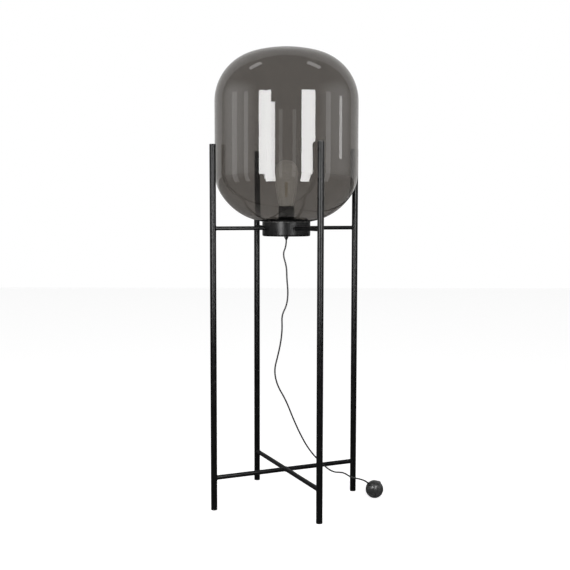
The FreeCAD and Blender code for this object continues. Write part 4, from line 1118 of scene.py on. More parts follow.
@dataclass
class GlassVessel:
    """The blown vessel: foot, flank and hip below a straight belt, shoulder and crown above."""

    pole: float = 0.87005
    half: float = 0.219
    wall: float = 0.004
    foot: float = 0.494
    flank: float = 0.181
    hip: float = 0.125
    hip_level: float = 0.1543
    shoulder: float = 0.152
    crown: float = 0.391
    height: float = 0.53
    neck: float = 0.062
    neck_depth: float = 0.01
    steps: int = 192

    def centres(self) -> dict[str, Vector]:
        """The centres of the five arcs of the outline, as radius and height."""
        foot = Vector((0.0, self.foot))
        hip = Vector((self.half - self.hip, self.hip_level))
        line = hip - foot
        first, second = self.foot - self.flank, self.flank - self.hip
        along = (line.length ** 2 + first ** 2 - second ** 2) / (2 * line.length)
        off = math.sqrt(first ** 2 - along ** 2)
        ahead = line.normalized()
        flank = foot + ahead * along + Vector((ahead.y, -ahead.x)) * off
        crown = Vector((0.0, self.height - self.crown))
        inset, reach = self.half - self.shoulder, self.crown - self.shoulder
        shoulder = Vector((inset, crown.y + math.sqrt(reach ** 2 - inset ** 2)))
        return {"foot": foot, "flank": flank, "hip": hip, "shoulder": shoulder, "crown": crown}

    def skin(self, inset: float) -> list[Ring]:
        """One skin's profile, from the mouth up to the pole.

        Args:
            inset: how far inside the outer skin it lies.

        Returns:
            The profile's points.
        """
        at = self.centres()
        neck = self.neck - inset

        def heading(start: str, end: str) -> float:
            """The direction from one centre to another, in degrees."""
            way = at[end] - at[start]
            return math.degrees(math.atan2(way.y, way.x))

        foot_end, flank_end = heading("foot", "flank"), heading("flank", "hip")
        crown_start = heading("crown", "shoulder")
        foot_start = -math.degrees(math.acos(neck / (self.foot - inset)))
        points = bow(tuple(at["foot"]), self.foot - inset, foot_start, foot_end, 8)
        points += bow(tuple(at["flank"]), self.flank - inset, foot_end, flank_end, 12)[1:]
        points += bow(tuple(at["hip"]), self.hip - inset, flank_end, 0.0, 20)[1:]
        points += bow(tuple(at["shoulder"]), self.shoulder - inset, 0.0, crown_start, 28)
        points += bow(tuple(at["crown"]), self.crown - inset, crown_start, 90.0, 14)[1:]
        return [(radius, height + self.pole) for radius, height in points]

    def build(self, palette: Palette) -> None:
        """Make the vessel and let it stand for its node.

        Args:
            palette: the finishes.
        """
        outer, inner = self.skin(0.0), self.skin(self.wall)
        lip = self.pole - self.neck_depth
        middle = self.neck - self.wall / 2
        rounded_lip = bow((middle, lip + self.wall / 2), self.wall / 2, -180.0, 0.0, 8)
        profile = list(reversed(inner)) + rounded_lip + outer
        mesh = spun(profile, self.steps)
        finished(mesh, "smoked_vessel", palette["smoked_glass"], ["glass_shade"], Body.SHADE, smooth=60.0)


# ---------------------------------------------------------------- the tube frame


@dataclass(frozen=True)
class Cope:
    """One end of a tube, shaped to the round of what it meets."""

    axis: float
    """How far along the tube the met axis lies."""
    radius: float
    """The met round's radius."""
    inward: float
    """Which side of the met axis the tube's end is on: 1 beyond it, -1 before it."""
    level: bool = False
    """Whether the met round lies level instead of standing upright."""

    def along(self, radius: float, angle: float) -> float:
        """Where the tube's end is, at an angle round it measured from the top."""
        lateral = radius * (math.cos(angle) if self.level else math.sin(angle))
        return self.axis + self.inward * math.sqrt(self.radius ** 2 - lateral ** 2)


@dataclass
class TubeFrame:
    """Four legs, four short arms to the dish, and a cross of bars low down, all welded."""

    spacing: float = 0.338
    height: float = 1.105
    leg_radius: float = 0.0095
    leg_wall: float = 0.0015
    cap_height: float = 0.002
    cap_stem: float = 0.012
    glide_height: float = 0.004
    glide_stem: float = 0.015
    arm_radius: float = 0.006
    arm_level: float = 0.856
    bar_radius: float = 0.007
    bar_level: float = 0.099
    tube_wall: float = 0.0015
    dish_radius: float = 0.074
    fit: float = 0.0001
    bead: float = 0.0013
    ripples: float = 0.0011
    """How far one weld ripple is from the next."""

    @property
    def reach(self) -> float:
        """How far each leg stands from the middle."""
        return self.spacing / math.sqrt(2)

    def turned(self, heading: float, level: float) -> Matrix:
        """The place of a tube that leaves the middle in some direction at some height."""
        return Matrix.Translation((0, 0, level)) @ Matrix.Rotation(heading, 4, "Z")

    def foot(self, corner: Corner) -> Matrix:
        """The place of a leg's foot on the floor."""
        return Matrix.Translation((self.reach * math.cos(corner.heading),
                                   self.reach * math.sin(corner.heading), 0.0))

    def coped_tube(self, radius: float, start: Cope, end: Cope, sides: int = 48) -> bmesh.types.BMesh:
        """A tube along X whose two ends are coped.

        Args:
            radius: the tube's radius.
            start: its first end.
            end: its second end.
            sides: how many sides it has.

        Returns:
            The tube's mesh.
        """
        angles = [2 * math.pi * side / sides for side in range(sides)]
        rings = []
        for reach, ends in ((radius, (start, end)), (radius - self.tube_wall, (end, start))):
            for cope in ends:
                rings.append([Vector((cope.along(reach, angle), reach * math.sin(angle),
                                      reach * math.cos(angle))) for angle in angles])
        return skinned(rings, looped=True)

    def weld(self, radius: float, cope: Cope) -> bmesh.types.BMesh:
        """The rippled bead round a coped end.

        Args:
            radius: the tube's radius.
            cope: the end that is welded.

        Returns:
            The bead's mesh.
        """
        turns = max(24, round(2 * math.pi * radius / self.ripples))
        steps = turns * 4
        points, radii = [], []
        for step in range(steps):
            angle = 2 * math.pi * step / steps
            points.append(Vector((cope.along(radius, angle), radius * math.sin(angle),
                                  radius * math.cos(angle))))
            wave = 0.5 + 0.5 * math.cos(2 * math.pi * step / 4)
            radii.append(self.bead * (0.86 + 0.2 * wave))
        return swept(points, radii, 10, looped=True)

    def build_legs(self, palette: Palette) -> None:
        """Make the legs with their top caps and foot glides."""
        bore = self.leg_radius - self.leg_wall
        stem = bore - self.fit
        top = self.height - self.cap_height
        leg = [(self.leg_radius, self.glide_height, 0.0004), (self.leg_radius, top, 0.0004),
               (bore, top, 0.0), (bore, self.glide_height, 0.0)]
        cap = [(0.0, top - self.cap_stem, 0), (stem, top - self.cap_stem, 0.0008), (stem, top, 0.0),
               (self.leg_radius - 0.0001, top + 0.0001, 0.0003),
               (self.leg_radius - 0.0001, self.height, 0.0013),
               (self.leg_radius * 0.55, self.height, 0.0005), (0.0, self.height - 0.0002, 0)]
        hollow = self.leg_radius / 2
        rise = self.glide_height + self.glide_stem
        glide = [(0.0, 0.0004, 0), (0.004, 0.0004, 0.0003), (0.0046, 0.0, 0.0003),
                 (self.leg_radius - 0.0002, 0.0, 0.0018), (self.leg_radius - 0.0002, 0.0012, 0.0006),
                 (self.leg_radius + 0.0003, self.glide_height, 0.0007), (stem, self.glide_height, 0.0002),
                 (stem, rise, 0.0006), (hollow, rise, 0.0),
                 (hollow, self.glide_height, 0), (0.0, self.glide_height, 0)]
        for corner in Corner:
            place = self.foot(corner)
            finished(moved(spun(softened(leg, True), 64, True), place), f"leg_tube_{corner.label}",
                     palette["satin_black_coat"], [f"leg_{corner.label}"])
            finished(moved(spun(softened(cap), 64), place), f"leg_plug_{corner.label}",
                     palette["satin_black_plastic"], [f"leg_cap_{corner.label}"])
            finished(moved(spun(softened(glide), 64), place), f"glide_{corner.label}",
                     palette["matt_black_rubber"], [f"foot_glide_{corner.label}"])

    def build_bars(self, palette: Palette) -> None:
        """Make the arms and the cross bars, with the beads that join them."""
        coat = palette["satin_black_coat"]
        leg = Cope(self.reach, self.leg_radius + self.fit, -1.0)
        far_leg = Cope(-self.reach, self.leg_radius + self.fit, 1.0)
        dish = Cope(0.0, self.dish_radius + self.fit, 1.0)
        bar = Cope(0.0, self.bar_radius + self.fit, 1.0, level=True)
        beads = []
        for corner in Corner:
            place = self.turned(corner.heading, self.arm_level)
            finished(moved(self.coped_tube(self.arm_radius, dish, leg), place), f"arm_tube_{corner.label}",
                     coat, [f"arm_{corner.label}"])
            beads += [moved(self.weld(self.arm_radius, end), place) for end in (dish, leg)]
        cross = self.turned(math.radians(45), self.bar_level)
        long_bar = moved(self.coped_tube(self.bar_radius, far_leg, leg), cross)
        finished(long_bar, "long_bar", coat, ["cross_bar"])
        beads += [moved(self.weld(self.bar_radius, end), cross) for end in (far_leg, leg)]
        for name, heading in (("front", -45.0), ("rear", 135.0)):
            place = self.turned(math.radians(heading), self.bar_level)
            finished(moved(self.coped_tube(self.bar_radius, bar, leg), place), f"short_bar_{name}", coat,
                     [f"half_bar_{name}"])
            beads += [moved(self.weld(self.bar_radius, end), place) for end in (bar, leg)]
        finished(joined(beads), "weld_beads", coat)

    def build(self, palette: Palette) -> None:
        """Make the whole frame.

        Args:
            palette: the finishes.
        """
        self.build_legs(palette)
        self.build_bars(palette)


# ---------------------------------------------------------------- the dish


@dataclass
class Dish:
    """The spun dish, the soft ring on its rim, and the gland under it."""

    floor: float = 0.831
    height: float = 0.0424
    radius: float = TubeFrame.dish_radius
    wall: float = 0.002
    corner: float = 0.005
    hole: float = 0.00515
    ring_inner: float = 0.06905
    ring_skirt: float = 0.07185
    ring_depth: float = 0.008
    ring_rise: float = 0.0012
    glass_foot: float = GlassVessel.foot
    gland_radius: float = 0.0065
    gland_length: float = 0.0105
    gland_tip: float = 0.0038
    knurls: int = 26
    knurl_depth: float = 0.00018

    def build_dish(self, palette: Palette) -> None:
        """The dish itself, with a softened rim and a rounded lower corner."""
        inner = self.radius - self.wall
        rim = self.floor + self.height
        profile = softened([
            (self.hole, self.floor, 0.0002), (self.radius, self.floor, self.corner * 1.15),
            (self.radius, rim, 0.0008), (inner, rim, 0.0004),
            (inner, self.floor + self.wall, self.corner - self.wall),
            (self.hole, self.floor + self.wall, 0.0002),
        ], True, 8)
        finished(spun(profile, 128, True), "spun_dish", palette["satin_black_coat"], ["dish"])

    def build_ring(self, palette: Palette) -> None:
        """The soft ring, whose top follows the curve of the glass."""
        rim = self.floor + self.height
        sag = self.glass_foot - math.sqrt(self.glass_foot ** 2 - self.ring_inner ** 2)
        rise = self.glass_foot - math.sqrt(self.glass_foot ** 2 - self.radius ** 2) - sag
        profile = softened([
            (self.ring_inner, rim - self.ring_depth, 0.0005),
            (self.ring_skirt, rim - self.ring_depth, 0.0005),
            (self.ring_skirt, rim, 0.0), (self.radius, rim, 0.0004),
            (self.radius, rim + self.ring_rise + rise, 0.0006),
            (self.ring_inner, rim + self.ring_rise, 0.0005),
        ], True)
        finished(spun(profile, 128, True), "seat_cushion", palette["grey_silicone"], ["seat_ring"])

    def build_gland(self, palette: Palette) -> bpy.types.Object:
        """The cord's grip: a knurled head above a tapered nose.

        Returns:
            The gland's object.
        """
        levels = softened([
            (0.0025, -self.gland_length, 0), (self.gland_tip, -self.gland_length, 0.0006),
            (0.0049, -0.0066, 0.0004), (self.gland_radius, -0.0040, 0.0006),
            (self.gland_radius, -0.0001, 0.0005), (0.0052, -0.0001, 0),
        ])
        steps = self.knurls * 4
        rings = []
        for radius, height in levels:
            deep = self.knurl_depth if radius > self.gland_radius * 0.97 else 0.0
            crest, root = (circle(reach, self.floor + height, steps) for reach in (radius, radius - deep))
            rings.append([(root if step % 4 in (0, 1) else crest)[step] for step in range(steps)])
        return finished(skinned(rings), "cord_grip", palette["satin_black_plastic"], ["cord_gland"])

    def build(self, palette: Palette) -> None:
        """Make the dish and its ring.

        Args:
            palette: the finishes.
        """
        self.build_dish(palette)
        self.build_ring(palette)


# ---------------------------------------------------------------- lampholder and bulb


@dataclass
class LampHolder:
    """The plain glossy holder that stands in the dish."""

    foot: float = 0.855
    joint: float = 0.882
    mouth: float = 0.923
    radius: float = 0.0244
    wall: float = 0.0016
    shoulder: float = 0.012
    boss: float = 0.00515
    gap: float = 0.00025

    def build(self, palette: Palette) -> None:
        """Make the holder's two outer halves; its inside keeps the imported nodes.

        Args:
            palette: the finishes.
        """
        gloss = palette["gloss_black_plastic"]
        inner = self.radius - self.wall
        base = softened([
            (self.boss, self.foot, 0.0003), (self.radius, self.foot, self.shoulder * 1.1),
            (self.radius, self.joint, 0.0004), (inner, self.joint, 0.0002),
            (inner, self.foot + self.wall, self.shoulder - self.wall),
            (self.boss + 0.002, self.foot + self.wall, 0.0), (self.boss + 0.002, self.foot + 0.007, 0.0004),
            (self.boss, self.foot + 0.007, 0.0002),
        ], True, 8)
        finished(spun(base, 96, True), "holder_cup", gloss, ["holder_base"])
        spigot = inner - self.gap
        skirt = softened([
            (self.radius, self.joint + self.gap, 0.0004), (self.radius, self.mouth, 0.0013),
            (inner, self.mouth, 0.0005), (inner, self.joint + 0.006, 0.0005),
            (spigot - self.wall, self.joint + 0.004, 0.0005),
            (spigot - self.wall, self.joint - 0.005, 0.0003),
            (spigot, self.joint - 0.005, 0.0003), (spigot, self.joint + self.gap, 0.0),
        ], True)
        finished(spun(skirt, 96, True), "holder_sleeve", gloss, ["holder_skirt"])


@dataclass
class Bulb:
    """A pear-shaped clear bulb with four upright filaments and a screw cap."""

    foot: float = 0.892
    length: float = 0.172
    radius: float = 0.0355
    wall: float = 0.0009
    neck: float = 0.022
    taper: float = 0.410
    base_level: float = 0.025
    base_height: float = 0.0085
    collar: float = 0.0122
    cap: float = 0.0132
    thread_pitch: float = 0.00363
    thread_depth: float = 0.0006
    thread_levels: tuple[float, float] = (0.007, 0.0235)
    filament_length: float = 0.050
    filament_top: float = 0.065
    """How far the filaments end below the bulb's top."""
    filament_circle: float = 0.0035
    filament_width: float = 0.0009
    wire_radius: float = 0.00025

    def arc_through(self, start: Ring, end: Ring, radius: float, count: int) -> list[Ring]:
        """Points on the outward arc of some radius between two points of a profile.

        Args:
            start: the arc's lower end.
            end: its upper end.
            radius: its radius.
            count: how many steps it has.

        Returns:
            The points, both ends included.
        """
        first, last = Vector(start), Vector(end)
        chord = last - first
        side = Vector((-chord.y, chord.x)).normalized()
        centre = (first + last) / 2 + side * math.sqrt(max(radius ** 2 - (chord.length / 2) ** 2, 0.0))
        begin = math.degrees(math.atan2(*reversed(first - centre)))
        finish = math.degrees(math.atan2(*reversed(last - centre)))
        return bow(tuple(centre), radius, begin, finish, count)

    def envelope_skin(self, inset: float) -> list[Ring]:
        """The envelope's profile from the collar up to the top.

        Args:
            inset: how far inside the outer skin it lies.

        Returns:
            The profile's points.
        """
        base, waist = self.base_level + inset / 2, self.base_level + self.base_height + inset / 2
        belly = self.length - self.radius
        points = self.arc_through((self.collar - inset, base), (self.neck - inset, waist),
                                  self.base_height * 1.2, 8)
        points += self.arc_through((self.neck - inset, waist), (self.radius - inset, belly),
                                   self.taper, 20)[1:]
        points += bow((0.0, belly), self.radius - inset, 0.0, 90.0, 20)[1:]
        return [(radius, height + self.foot) for radius, height in points]

    def build_envelope(self, palette: Palette) -> None:
        """The thin blown envelope."""
        profile = list(reversed(self.envelope_skin(self.wall))) + self.envelope_skin(0.0)
        finished(spun(profile, 96), "bulb_glass", palette["bulb_glass"], ["bulb_envelope"],
                 Body.BULB, smooth=60.0)

    def build_cap(self, palette: Palette) -> None:
        """The cap with its rolled thread, cemented under the envelope."""
        start, end = (self.foot + level for level in self.thread_levels)
        steps, per_turn = 72, 12
        rows = round((end - start) / self.thread_pitch * per_turn)
        below = ((self.cap - 0.005, 0.0042), (self.cap - 0.0012, 0.0052), (self.cap - 0.0006, 0.0062))
        above = ((self.cap - 0.0006, 0.0246), (self.cap - 0.0002, 0.0250), (self.cap - 0.0012, 0.0250))
        rings = [circle(reach, self.foot + level, steps) for reach, level in below]
        for row in range(rows + 1):
            height = start + (end - start) * row / rows
            fade = min(1.0, row / per_turn, (rows - row) / per_turn)
            ring = []
            for step in range(steps):
                turn = 2 * math.pi * step / steps
                wave = 0.5 - 0.5 * math.cos(2 * math.pi * (height - start) / self.thread_pitch - turn)
                reach = self.cap - self.thread_depth * (1 - fade * wave)
                ring.append(Vector((reach * math.cos(turn), reach * math.sin(turn), height)))
            rings.append(ring)
        rings += [circle(reach, self.foot + level, steps) for reach, level in above]
        finished(skinned(rings, capped=False), "screw_cap", palette["nickel_plate"], ["bulb_cap"], Body.BULB)
        seat = softened([(0.0, 0.0012, 0), (0.0042, 0.0019, 0.0004), (self.cap - 0.005, 0.0042, 0.0003),
                         (self.cap - 0.005, 0.0048, 0), (0.0, 0.0048, 0)])
        finished(spun([(radius, self.foot + height) for radius, height in seat], 48), "cap_insulator",
                 palette["black_insulator"], ["bulb_contact"], Body.BULB)
        tip = softened([(0.0, 0.0, 0), (0.0034, 0.0003, 0.0006), (0.0040, 0.0016, 0.0002), (0.0, 0.0019, 0)])
        finished(spun([(radius, self.foot + height) for radius, height in tip], 32), "cap_contact",
                 palette["brass"], body=Body.BULB)

    def build_inside(self, palette: Palette) -> None:
        """The stem, the four filaments and the wires that hold them."""
        low = self.foot + self.length - self.filament_top - self.filament_length
        stem_top = low - 0.001
        collar = self.foot + self.base_level
        rod_foot = collar + self.base_height + 0.014
        stem = softened([
            (0.0, collar + 0.001, 0), (0.0105, collar + 0.0012, 0.0008),
            (0.005, collar + self.base_height, 0.004), (0.004, rod_foot, 0.003),
            (0.0018, rod_foot + 0.006, 0.002), (0.0018, stem_top - 0.0006, 0.0006),
            (0.0030, stem_top, 0.0004), (0.0030, stem_top + 0.001, 0.0004), (0.0, stem_top + 0.001, 0),
        ])
        finished(spun(stem, 48), "glass_stem", palette["bulb_glass"], ["bulb_stem"], Body.BULB, smooth=60.0)
        strips, wires = [], []
        for quarter in range(4):
            turn = math.pi / 2 * quarter
            out = Vector((math.cos(turn), math.sin(turn), 0.0))
            foot = out * self.filament_circle * 0.86 + Vector((0, 0, low + 0.002))
            head = out * self.filament_circle * 1.08 + Vector((0, 0, low + self.filament_length - 0.002))
            thickness = [self.filament_width * (0.7 if share in (0, 8) else 1.0) for share in range(9)]
            strips.append(swept([foot.lerp(head, share / 8) for share in range(9)], thickness, 10))
            bend = out * self.filament_circle * 0.6 + Vector((0, 0, low - 0.001))
            wires.append(swept([Vector((0, 0, low - 0.0015)), bend, foot], self.wire_radius, 6))
            top = Vector((0, 0, low + self.filament_length + 0.0004))
            wires.append(swept([head, head + Vector((0, 0, 0.002)), top], self.wire_radius, 6))
        finished(joined(strips), "filament_strips", palette["filament_coat"], ["bulb_filaments"], Body.BULB)
        finished(joined(wires), "filament_wires", palette["nickel_plate"], body=Body.BULB)

    def build(self, palette: Palette) -> None:
        """Make the whole bulb.

        Args:
            palette: the finishes.
        """
        self.build_envelope(palette)
        self.build_cap(palette)
        self.build_inside(palette)


# ---------------------------------------------------------------- ball switch and plug


@dataclass
class BallSwitch:
    """The foot switch: a ball in two shells on the cord, with a round button."""

    flex: Flex
    radius: float = 0.028
    wall: float = 0.0022
    seam: float = 0.0001
    button: float = 0.0115
    button_gap: float = 0.00035
    flange: float = 0.0135
    brim: float = 0.0016
    pillar_offset: float = 0.0165
    screw_head: float = 0.0022
    cross_recess: Point = (0.0026, 0.0006, 0.0014)
    bushing: float = 0.0042
    bushing_tip: float = 0.0033
    bushing_reach: float = 0.0025
    bore: float = 0.0025

    def place(self) -> Matrix:
        """The ball's own frame: X along the cord, Z out through the button."""
        centre = self.flex.place(*self.flex.ball)
        yaw = math.radians(self.flex.swing + self.flex.turn)
        tilt = math.radians(self.flex.tilt)
        return Matrix.Translation(centre) @ Matrix.Rotation(yaw, 4, "Z") @ Matrix.Rotation(tilt, 4, "Y")

    def height(self, reach: float, radius: float) -> float:
        """How high a sphere of some radius is, at some distance from its axis."""
        return math.sqrt(radius ** 2 - reach ** 2)

    def cord_holes(self) -> bmesh.types.BMesh:
        """A cylinder along X that opens both of the ball's cord holes."""
        return moved(bored(self.bushing - 0.00085, -0.04, 0.04), Matrix.Rotation(math.pi / 2, 4, "Y"))

    def shell(self, upper: bool) -> bmesh.types.BMesh:
        """One half of the ball.

        Args:
            upper: whether it is the half with the button.

        Returns:
            The shell's mesh, in the ball's own frame.
        """
        inner = self.radius - self.wall
        side = 1.0 if upper else -1.0
        soft = 0.0006
        edge = math.degrees(math.asin((self.seam + soft) / self.radius))
        start = self.button + self.button_gap if upper else 0.0
        last = math.degrees(math.acos((start + soft) / self.radius)) if upper else 90.0
        profile = bow((0.0, 0.0), self.radius, edge, last, 26)
        if upper:
            outer_level = self.height(start, self.radius)
            profile += [(start + soft * 0.3, outer_level - soft * 0.12), (start, outer_level - soft * 0.8)]
            profile += [(start, self.height(start, inner))]
        inner_last = math.degrees(math.acos(start / inner)) if upper else 90.0
        inner_edge = math.degrees(math.asin(self.seam / inner))
        profile += list(reversed(bow((0.0, 0.0), inner, inner_edge, inner_last, 16)))[int(upper):]
        profile += [(self.radius - soft, self.seam), (self.radius - soft * 0.25, self.seam + soft * 0.3)]
        return spun([(radius, side * height) for radius, height in profile], 112, True)

    def build_shells(self, palette: Palette) -> list[bpy.types.Object]:
        """Both halves, with the holes for the cord, and for the screws from below.

        Returns:
            The upper and the lower half.
        """
        gloss = palette["satin_grey_plastic"]
        place = self.place()
        top = finished(moved(carved(self.shell(True), [self.cord_holes()]), place), "ball_top", gloss,
                       ["switch_upper_shell"])
        holes = [self.cord_holes()]
        for side in (-1, 1):
            holes.append(moved(bored(self.screw_head + 0.0002, -0.04, -0.012),
                               Matrix.Translation((0, side * self.pillar_offset, 0))))
        bottom = finished(moved(carved(self.shell(False), holes), place), "ball_bottom", gloss,
                          ["switch_lower_shell"])
        return [top, bottom]

    def build_button(self, palette: Palette) -> bpy.types.Object:
        """The round button, whose top carries on the ball's curve.

        Returns:
            The button's object.
        """
        level = self.height(self.flange, self.radius - self.wall) - self.button_gap
        edge = math.degrees(math.acos((self.button - 0.0006) / self.radius))
        top = bow((0.0, 0.0), self.radius, edge, 90.0, 14)
        crown = self.height(self.button, self.radius)
        profile = [(0.0, level - self.brim), (self.flange, level - self.brim), (self.flange, level),
                   (self.button, level), (self.button, crown - 0.0005),
                   (self.button - 0.00015, crown - 0.0001)] + top
        return finished(moved(spun(profile, 96), self.place()), "push_button",
                        palette["satin_grey_plastic"], ["switch_button"], Body.BUTTON)

    def build_bushings(self, palette: Palette) -> bpy.types.Object:
        """The two tapered bushings that the cord passes through.

        Returns:
            The bushings' object.
        """
        reach = self.radius + self.bushing_reach
        wall = self.radius - self.wall - 0.0008
        profile = softened([
            (self.bore, wall - 0.0016, 0), (self.bushing + 0.0006, wall - 0.0016, 0.0003),
            (self.bushing + 0.0006, wall, 0.0002), (self.bushing - 0.001, wall, 0),
            (self.bushing - 0.001, self.radius - 0.0002, 0), (self.bushing, self.radius - 0.0002, 0.0003),
            (self.bushing, self.radius + 0.0005, 0.0005), (self.bushing_tip, reach, 0.0006),
            (self.bore, reach, 0.0003),
        ], True)
        pair = [moved(spun(profile, 48, True), self.place() @ Matrix.Rotation(way * math.pi / 2, 4, "Y"))
                for way in (-1, 1)]
        return finished(joined(pair), "cord_bushings", palette["satin_black_plastic"], ["switch_bushings"])

    def build_screws(self, palette: Palette) -> bpy.types.Object:
        """The two sunk screws, with a cross recess in each head.

        Returns:
            The screws' object.
        """
        seat = math.sqrt(self.radius ** 2 - (self.pillar_offset + self.screw_head) ** 2) - 0.003
        pair = []
        for side in (-1, 1):
            screw = spun(softened([(0.0, -seat - 0.0018, 0), (self.screw_head, -seat - 0.0014, 0.0008),
                                   (self.screw_head, -seat, 0.0002), (0.00125, -seat, 0),
                                   (0.00125, 0.009, 0.0004), (0.0, 0.009, 0)]), 32)
            recess = Matrix.Translation((0, 0, -seat - 0.0016))
            for turn in (0.0, math.pi / 2):
                screw = carved(screw, [block(recess @ Matrix.Rotation(turn, 4, "Z"), self.cross_recess)])
            pair.append(moved(screw, self.place() @ Matrix.Translation((0, side * self.pillar_offset, 0))))
        return finished(joined(pair), "shell_screws", palette["zinc_plate"], ["switch_screws"])

    def build(self, palette: Palette) -> list[bpy.types.Object]:
        """Make the whole switch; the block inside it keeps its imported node.

        Args:
            palette: the finishes.

        Returns:
            Its pieces.
        """
        return [*self.build_shells(palette), self.build_button(palette), self.build_screws(palette),
                self.build_bushings(palette)]


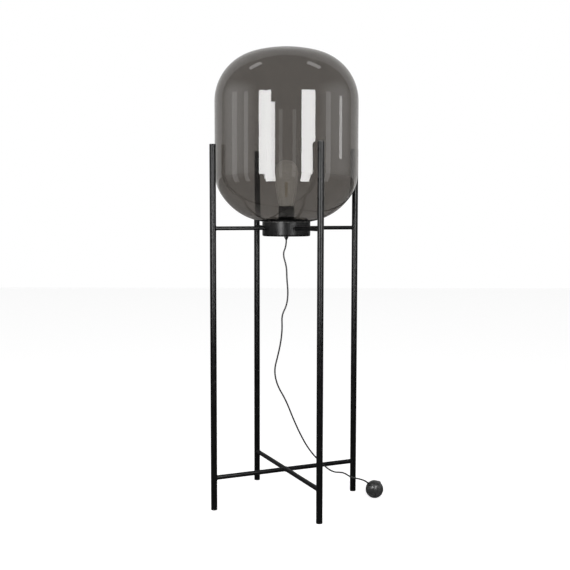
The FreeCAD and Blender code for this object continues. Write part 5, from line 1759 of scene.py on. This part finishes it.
@dataclass
class MainsPlug:
    """The flat two-pin plug that lies on the hank, and the strap round the hank."""

    flex: Flex
    width: float = 0.035
    thickness: float = 0.014
    length: float = 0.026
    shoulder: float = 0.015
    relief: float = 0.013
    ribs: int = 5
    pin_radius: float = 0.002
    pin_length: float = 0.019
    pin_spacing: float = 0.0186
    sleeve: float = 0.010
    face: float = 3.0
    strap_width: float = 0.006
    strap_thickness: float = 0.0007
    strap_gap: float = 0.0003
    strap_corner: float = 2.2
    strap_head: Point = (0.0056, 0.0078, 0.0030)
    strap_head_place: tuple[float, float] = (-12.5, 1.9)
    """Where the head sits, in millimetres: across the hank, and over the strap's lower side."""

    def place(self) -> Matrix:
        """The plug's own frame: Y from the pins to the cord."""
        across, _, height = self.flex.plug_entry
        return self.flex.hank_frame(across, self.face, height)

    def section(self, along: float, half_width: float, half_height: float, power: float,
                points: int = 56) -> list[Vector]:
        """A rounded section across the plug.

        Args:
            along: where it is along the plug.
            half_width: half its width.
            half_height: half its height.
            power: how square it is; 2 is an ellipse.
            points: how many points it has.

        Returns:
            The section's points.
        """
        ring = []
        for step in range(points):
            turn = 2 * math.pi * step / points
            cosine, sine = math.cos(turn), math.sin(turn)
            ring.append(Vector((math.copysign(abs(cosine) ** (2 / power), cosine) * half_width, along,
                                math.copysign(abs(sine) ** (2 / power), sine) * half_height)))
        return ring

    def build_body(self, palette: Palette) -> bpy.types.Object:
        """The moulded body: a broad face, a waist to grip and a ribbed relief.

        Returns:
            The body's object.
        """
        half, high, neck = self.width / 2, self.thickness / 2, self.shoulder / 2
        rings = [self.section(0.0, half - 0.0012, high - 0.0012, 6.0),
                 self.section(0.0003, half - 0.0004, high - 0.0004, 6.0),
                 self.section(0.0012, half, high, 6.0),
                 self.section(0.0085, half, high, 6.0)]
        for step in range(1, 13):
            share = step / 12
            ease = share * share * (3 - 2 * share)
            grip = 0.0004 * math.sin(math.pi * step / 2) if 2 < step < 10 else 0.0
            rings.append(self.section(0.0085 + 0.0160 * share, half + (neck - half) * ease + grip,
                                      high - 0.0012 * ease, 6.0 - 3.0 * ease))
        rings.append(self.section(0.0258, 0.0056, 0.0052, 2.4))
        for rib in range(self.ribs):
            start = 0.0262 + rib * 0.0025
            outer = 0.0046 - 0.00026 * rib
            root = outer - 0.0006
            for along, radius in ((0.0, root), (0.0003, outer), (0.0014, outer), (0.0017, root)):
                rings.append(self.section(start + along, radius, radius, 2.0))
        end = self.length + self.relief
        rings += [self.section(end - 0.0002, 0.0031, 0.0031, 2.0), self.section(end, 0.0028, 0.0028, 2.0)]
        return finished(moved(skinned(rings), self.place()), "plug_moulding", palette["satin_black_plastic"],
                        ["plug_body"])

    def build_pins(self, palette: Palette) -> list[bpy.types.Object]:
        """The two pins, sleeved at the root.

        Returns:
            The metal pins and their sleeves.
        """
        tip = bow((0.0, self.pin_length - self.pin_radius), self.pin_radius, 0.0, 90.0, 8)
        metal = [(0.0, self.sleeve - 0.001), (self.pin_radius, self.sleeve - 0.001)] + tip
        thin = self.pin_radius - 0.00002
        coat = softened([(0.0, -0.004, 0), (thin, -0.004, 0), (thin, self.sleeve, 0.0002),
                         (0.0, self.sleeve, 0)])
        pieces = []
        for name, profile, finish, nodes in (("pin_tips", metal, "nickel_plate", ["plug_pins"]),
                                             ("pin_sleeves", coat, "satin_black_plastic", [])):
            pair = [moved(spun(profile, 32),
                          self.place() @ Matrix.Translation((side * self.pin_spacing / 2, 0, 0))
                          @ Matrix.Rotation(math.pi / 2, 4, "X")) for side in (-1, 1)]
            pieces.append(finished(joined(pair), name, palette[finish], nodes))
        return pieces

    def build_strap(self, palette: Palette) -> bpy.types.Object:
        """The strap round the hank's waist, rounded at its corners, with a small head on top.

        Returns:
            The strap's object.
        """
        flex = self.flex
        gap = self.strap_gap / MM
        slack = flex.diameter / 2 / MM + gap
        left = -(flex.hank_inner + flex.hank_step - flex.hank_draw + slack)
        right = flex.hank_inner + 1.5 * flex.hank_step - flex.hank_draw + slack
        floor = flex.hank_level - slack
        low_top = flex.hank_level + flex.hank_lift + slack
        high_top = flex.hank_level + 1.5 * flex.hank_lift + 3 * gap + slack
        corners = [(across, height, self.strap_corner) for across, height in
                   ((left, floor), (right, floor), (right, high_top), (left, low_top))]
        loop = [Vector((across, 0.0, height)) * MM for across, height in softened(corners, True, 6)]
        centre = sum(loop, Vector()) / len(loop)
        half = self.strap_width / 2
        rings = []
        for index, point in enumerate(loop):
            way = (loop[(index + 1) % len(loop)] - loop[index - 1]).normalized()
            out = Vector((way.z, 0.0, -way.x))
            if out.dot(point - centre) < 0:
                out.negate()
            outer = point + out * self.strap_thickness
            rings.append([point + Vector((0, -half, 0)), outer + Vector((0, -half, 0)),
                          outer + Vector((0, half, 0)), point + Vector((0, half, 0))])
        across, above = self.strap_head_place
        head = block(Matrix.Translation((across * MM, 0.0, (low_top + above) * MM)), self.strap_head)
        bmesh.ops.bevel(head, geom=head.edges[:], offset=0.0006, offset_type="OFFSET", segments=2,
                        profile=0.5, affect="EDGES", material=-1)
        waist = flex.hank_frame(0.0, flex.hank_run / 2, 0.0)
        strap = moved(joined([skinned(rings, looped=True), head]), waist)
        return finished(strap, "hank_strap", palette["matt_black_rubber"], ["cord_tie"])


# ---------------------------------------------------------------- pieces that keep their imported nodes


@dataclass
class Inside:
    """The pieces inside the holder, the dish and the ball, which only need a finish."""

    finishes: dict[str, tuple[str, ...]] = field(default_factory=lambda: {
        "brass": ("nipple", "screw_shell", "centre_contact"),
        "zinc_plate": ("lock_washer", "dish_nut", "holder_nut", "terminal_screws"),
        "satin_black_plastic": ("switch_module",),
        "white_insulator": ("holder_insert",),
        "black_cord_sheath": ("cord_end", "switch_tails"),
        "brown_lead": ("inner_leads",),
    })

    def build(self, palette: Palette) -> None:
        """Finish every piece.

        Args:
            palette: the finishes.
        """
        for finish, names in self.finishes.items():
            dress(names, palette[finish].material)


def main() -> None:
    """Build the lamp, piece by piece."""
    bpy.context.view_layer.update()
    palette = Palette()
    studio = Studio()
    studio.camera()
    flex = Flex()
    dish, switch, plug = Dish(), BallSwitch(flex), MainsPlug(flex)
    grip = dish.build_gland(palette)
    on_cord = [grip, *switch.build(palette), "cord_end", "switch_tails", "switch_module", "inner_leads"]
    plug_pieces = [plug.build_body(palette), *plug.build_pins(palette), plug.build_strap(palette)]
    flex.build(palette, on_cord, plug_pieces)
    log.info("switch, plug and cords made")
    studio.build()
    GlassVessel().build(palette)
    log.info("glass made")
    TubeFrame().build(palette)
    dish.build(palette)
    log.info("frame and dish made")
    LampHolder().build(palette)
    Bulb().build(palette)
    Inside().build(palette)
    log.info("holder and bulb made")


if __name__ == "__main__":
    main()
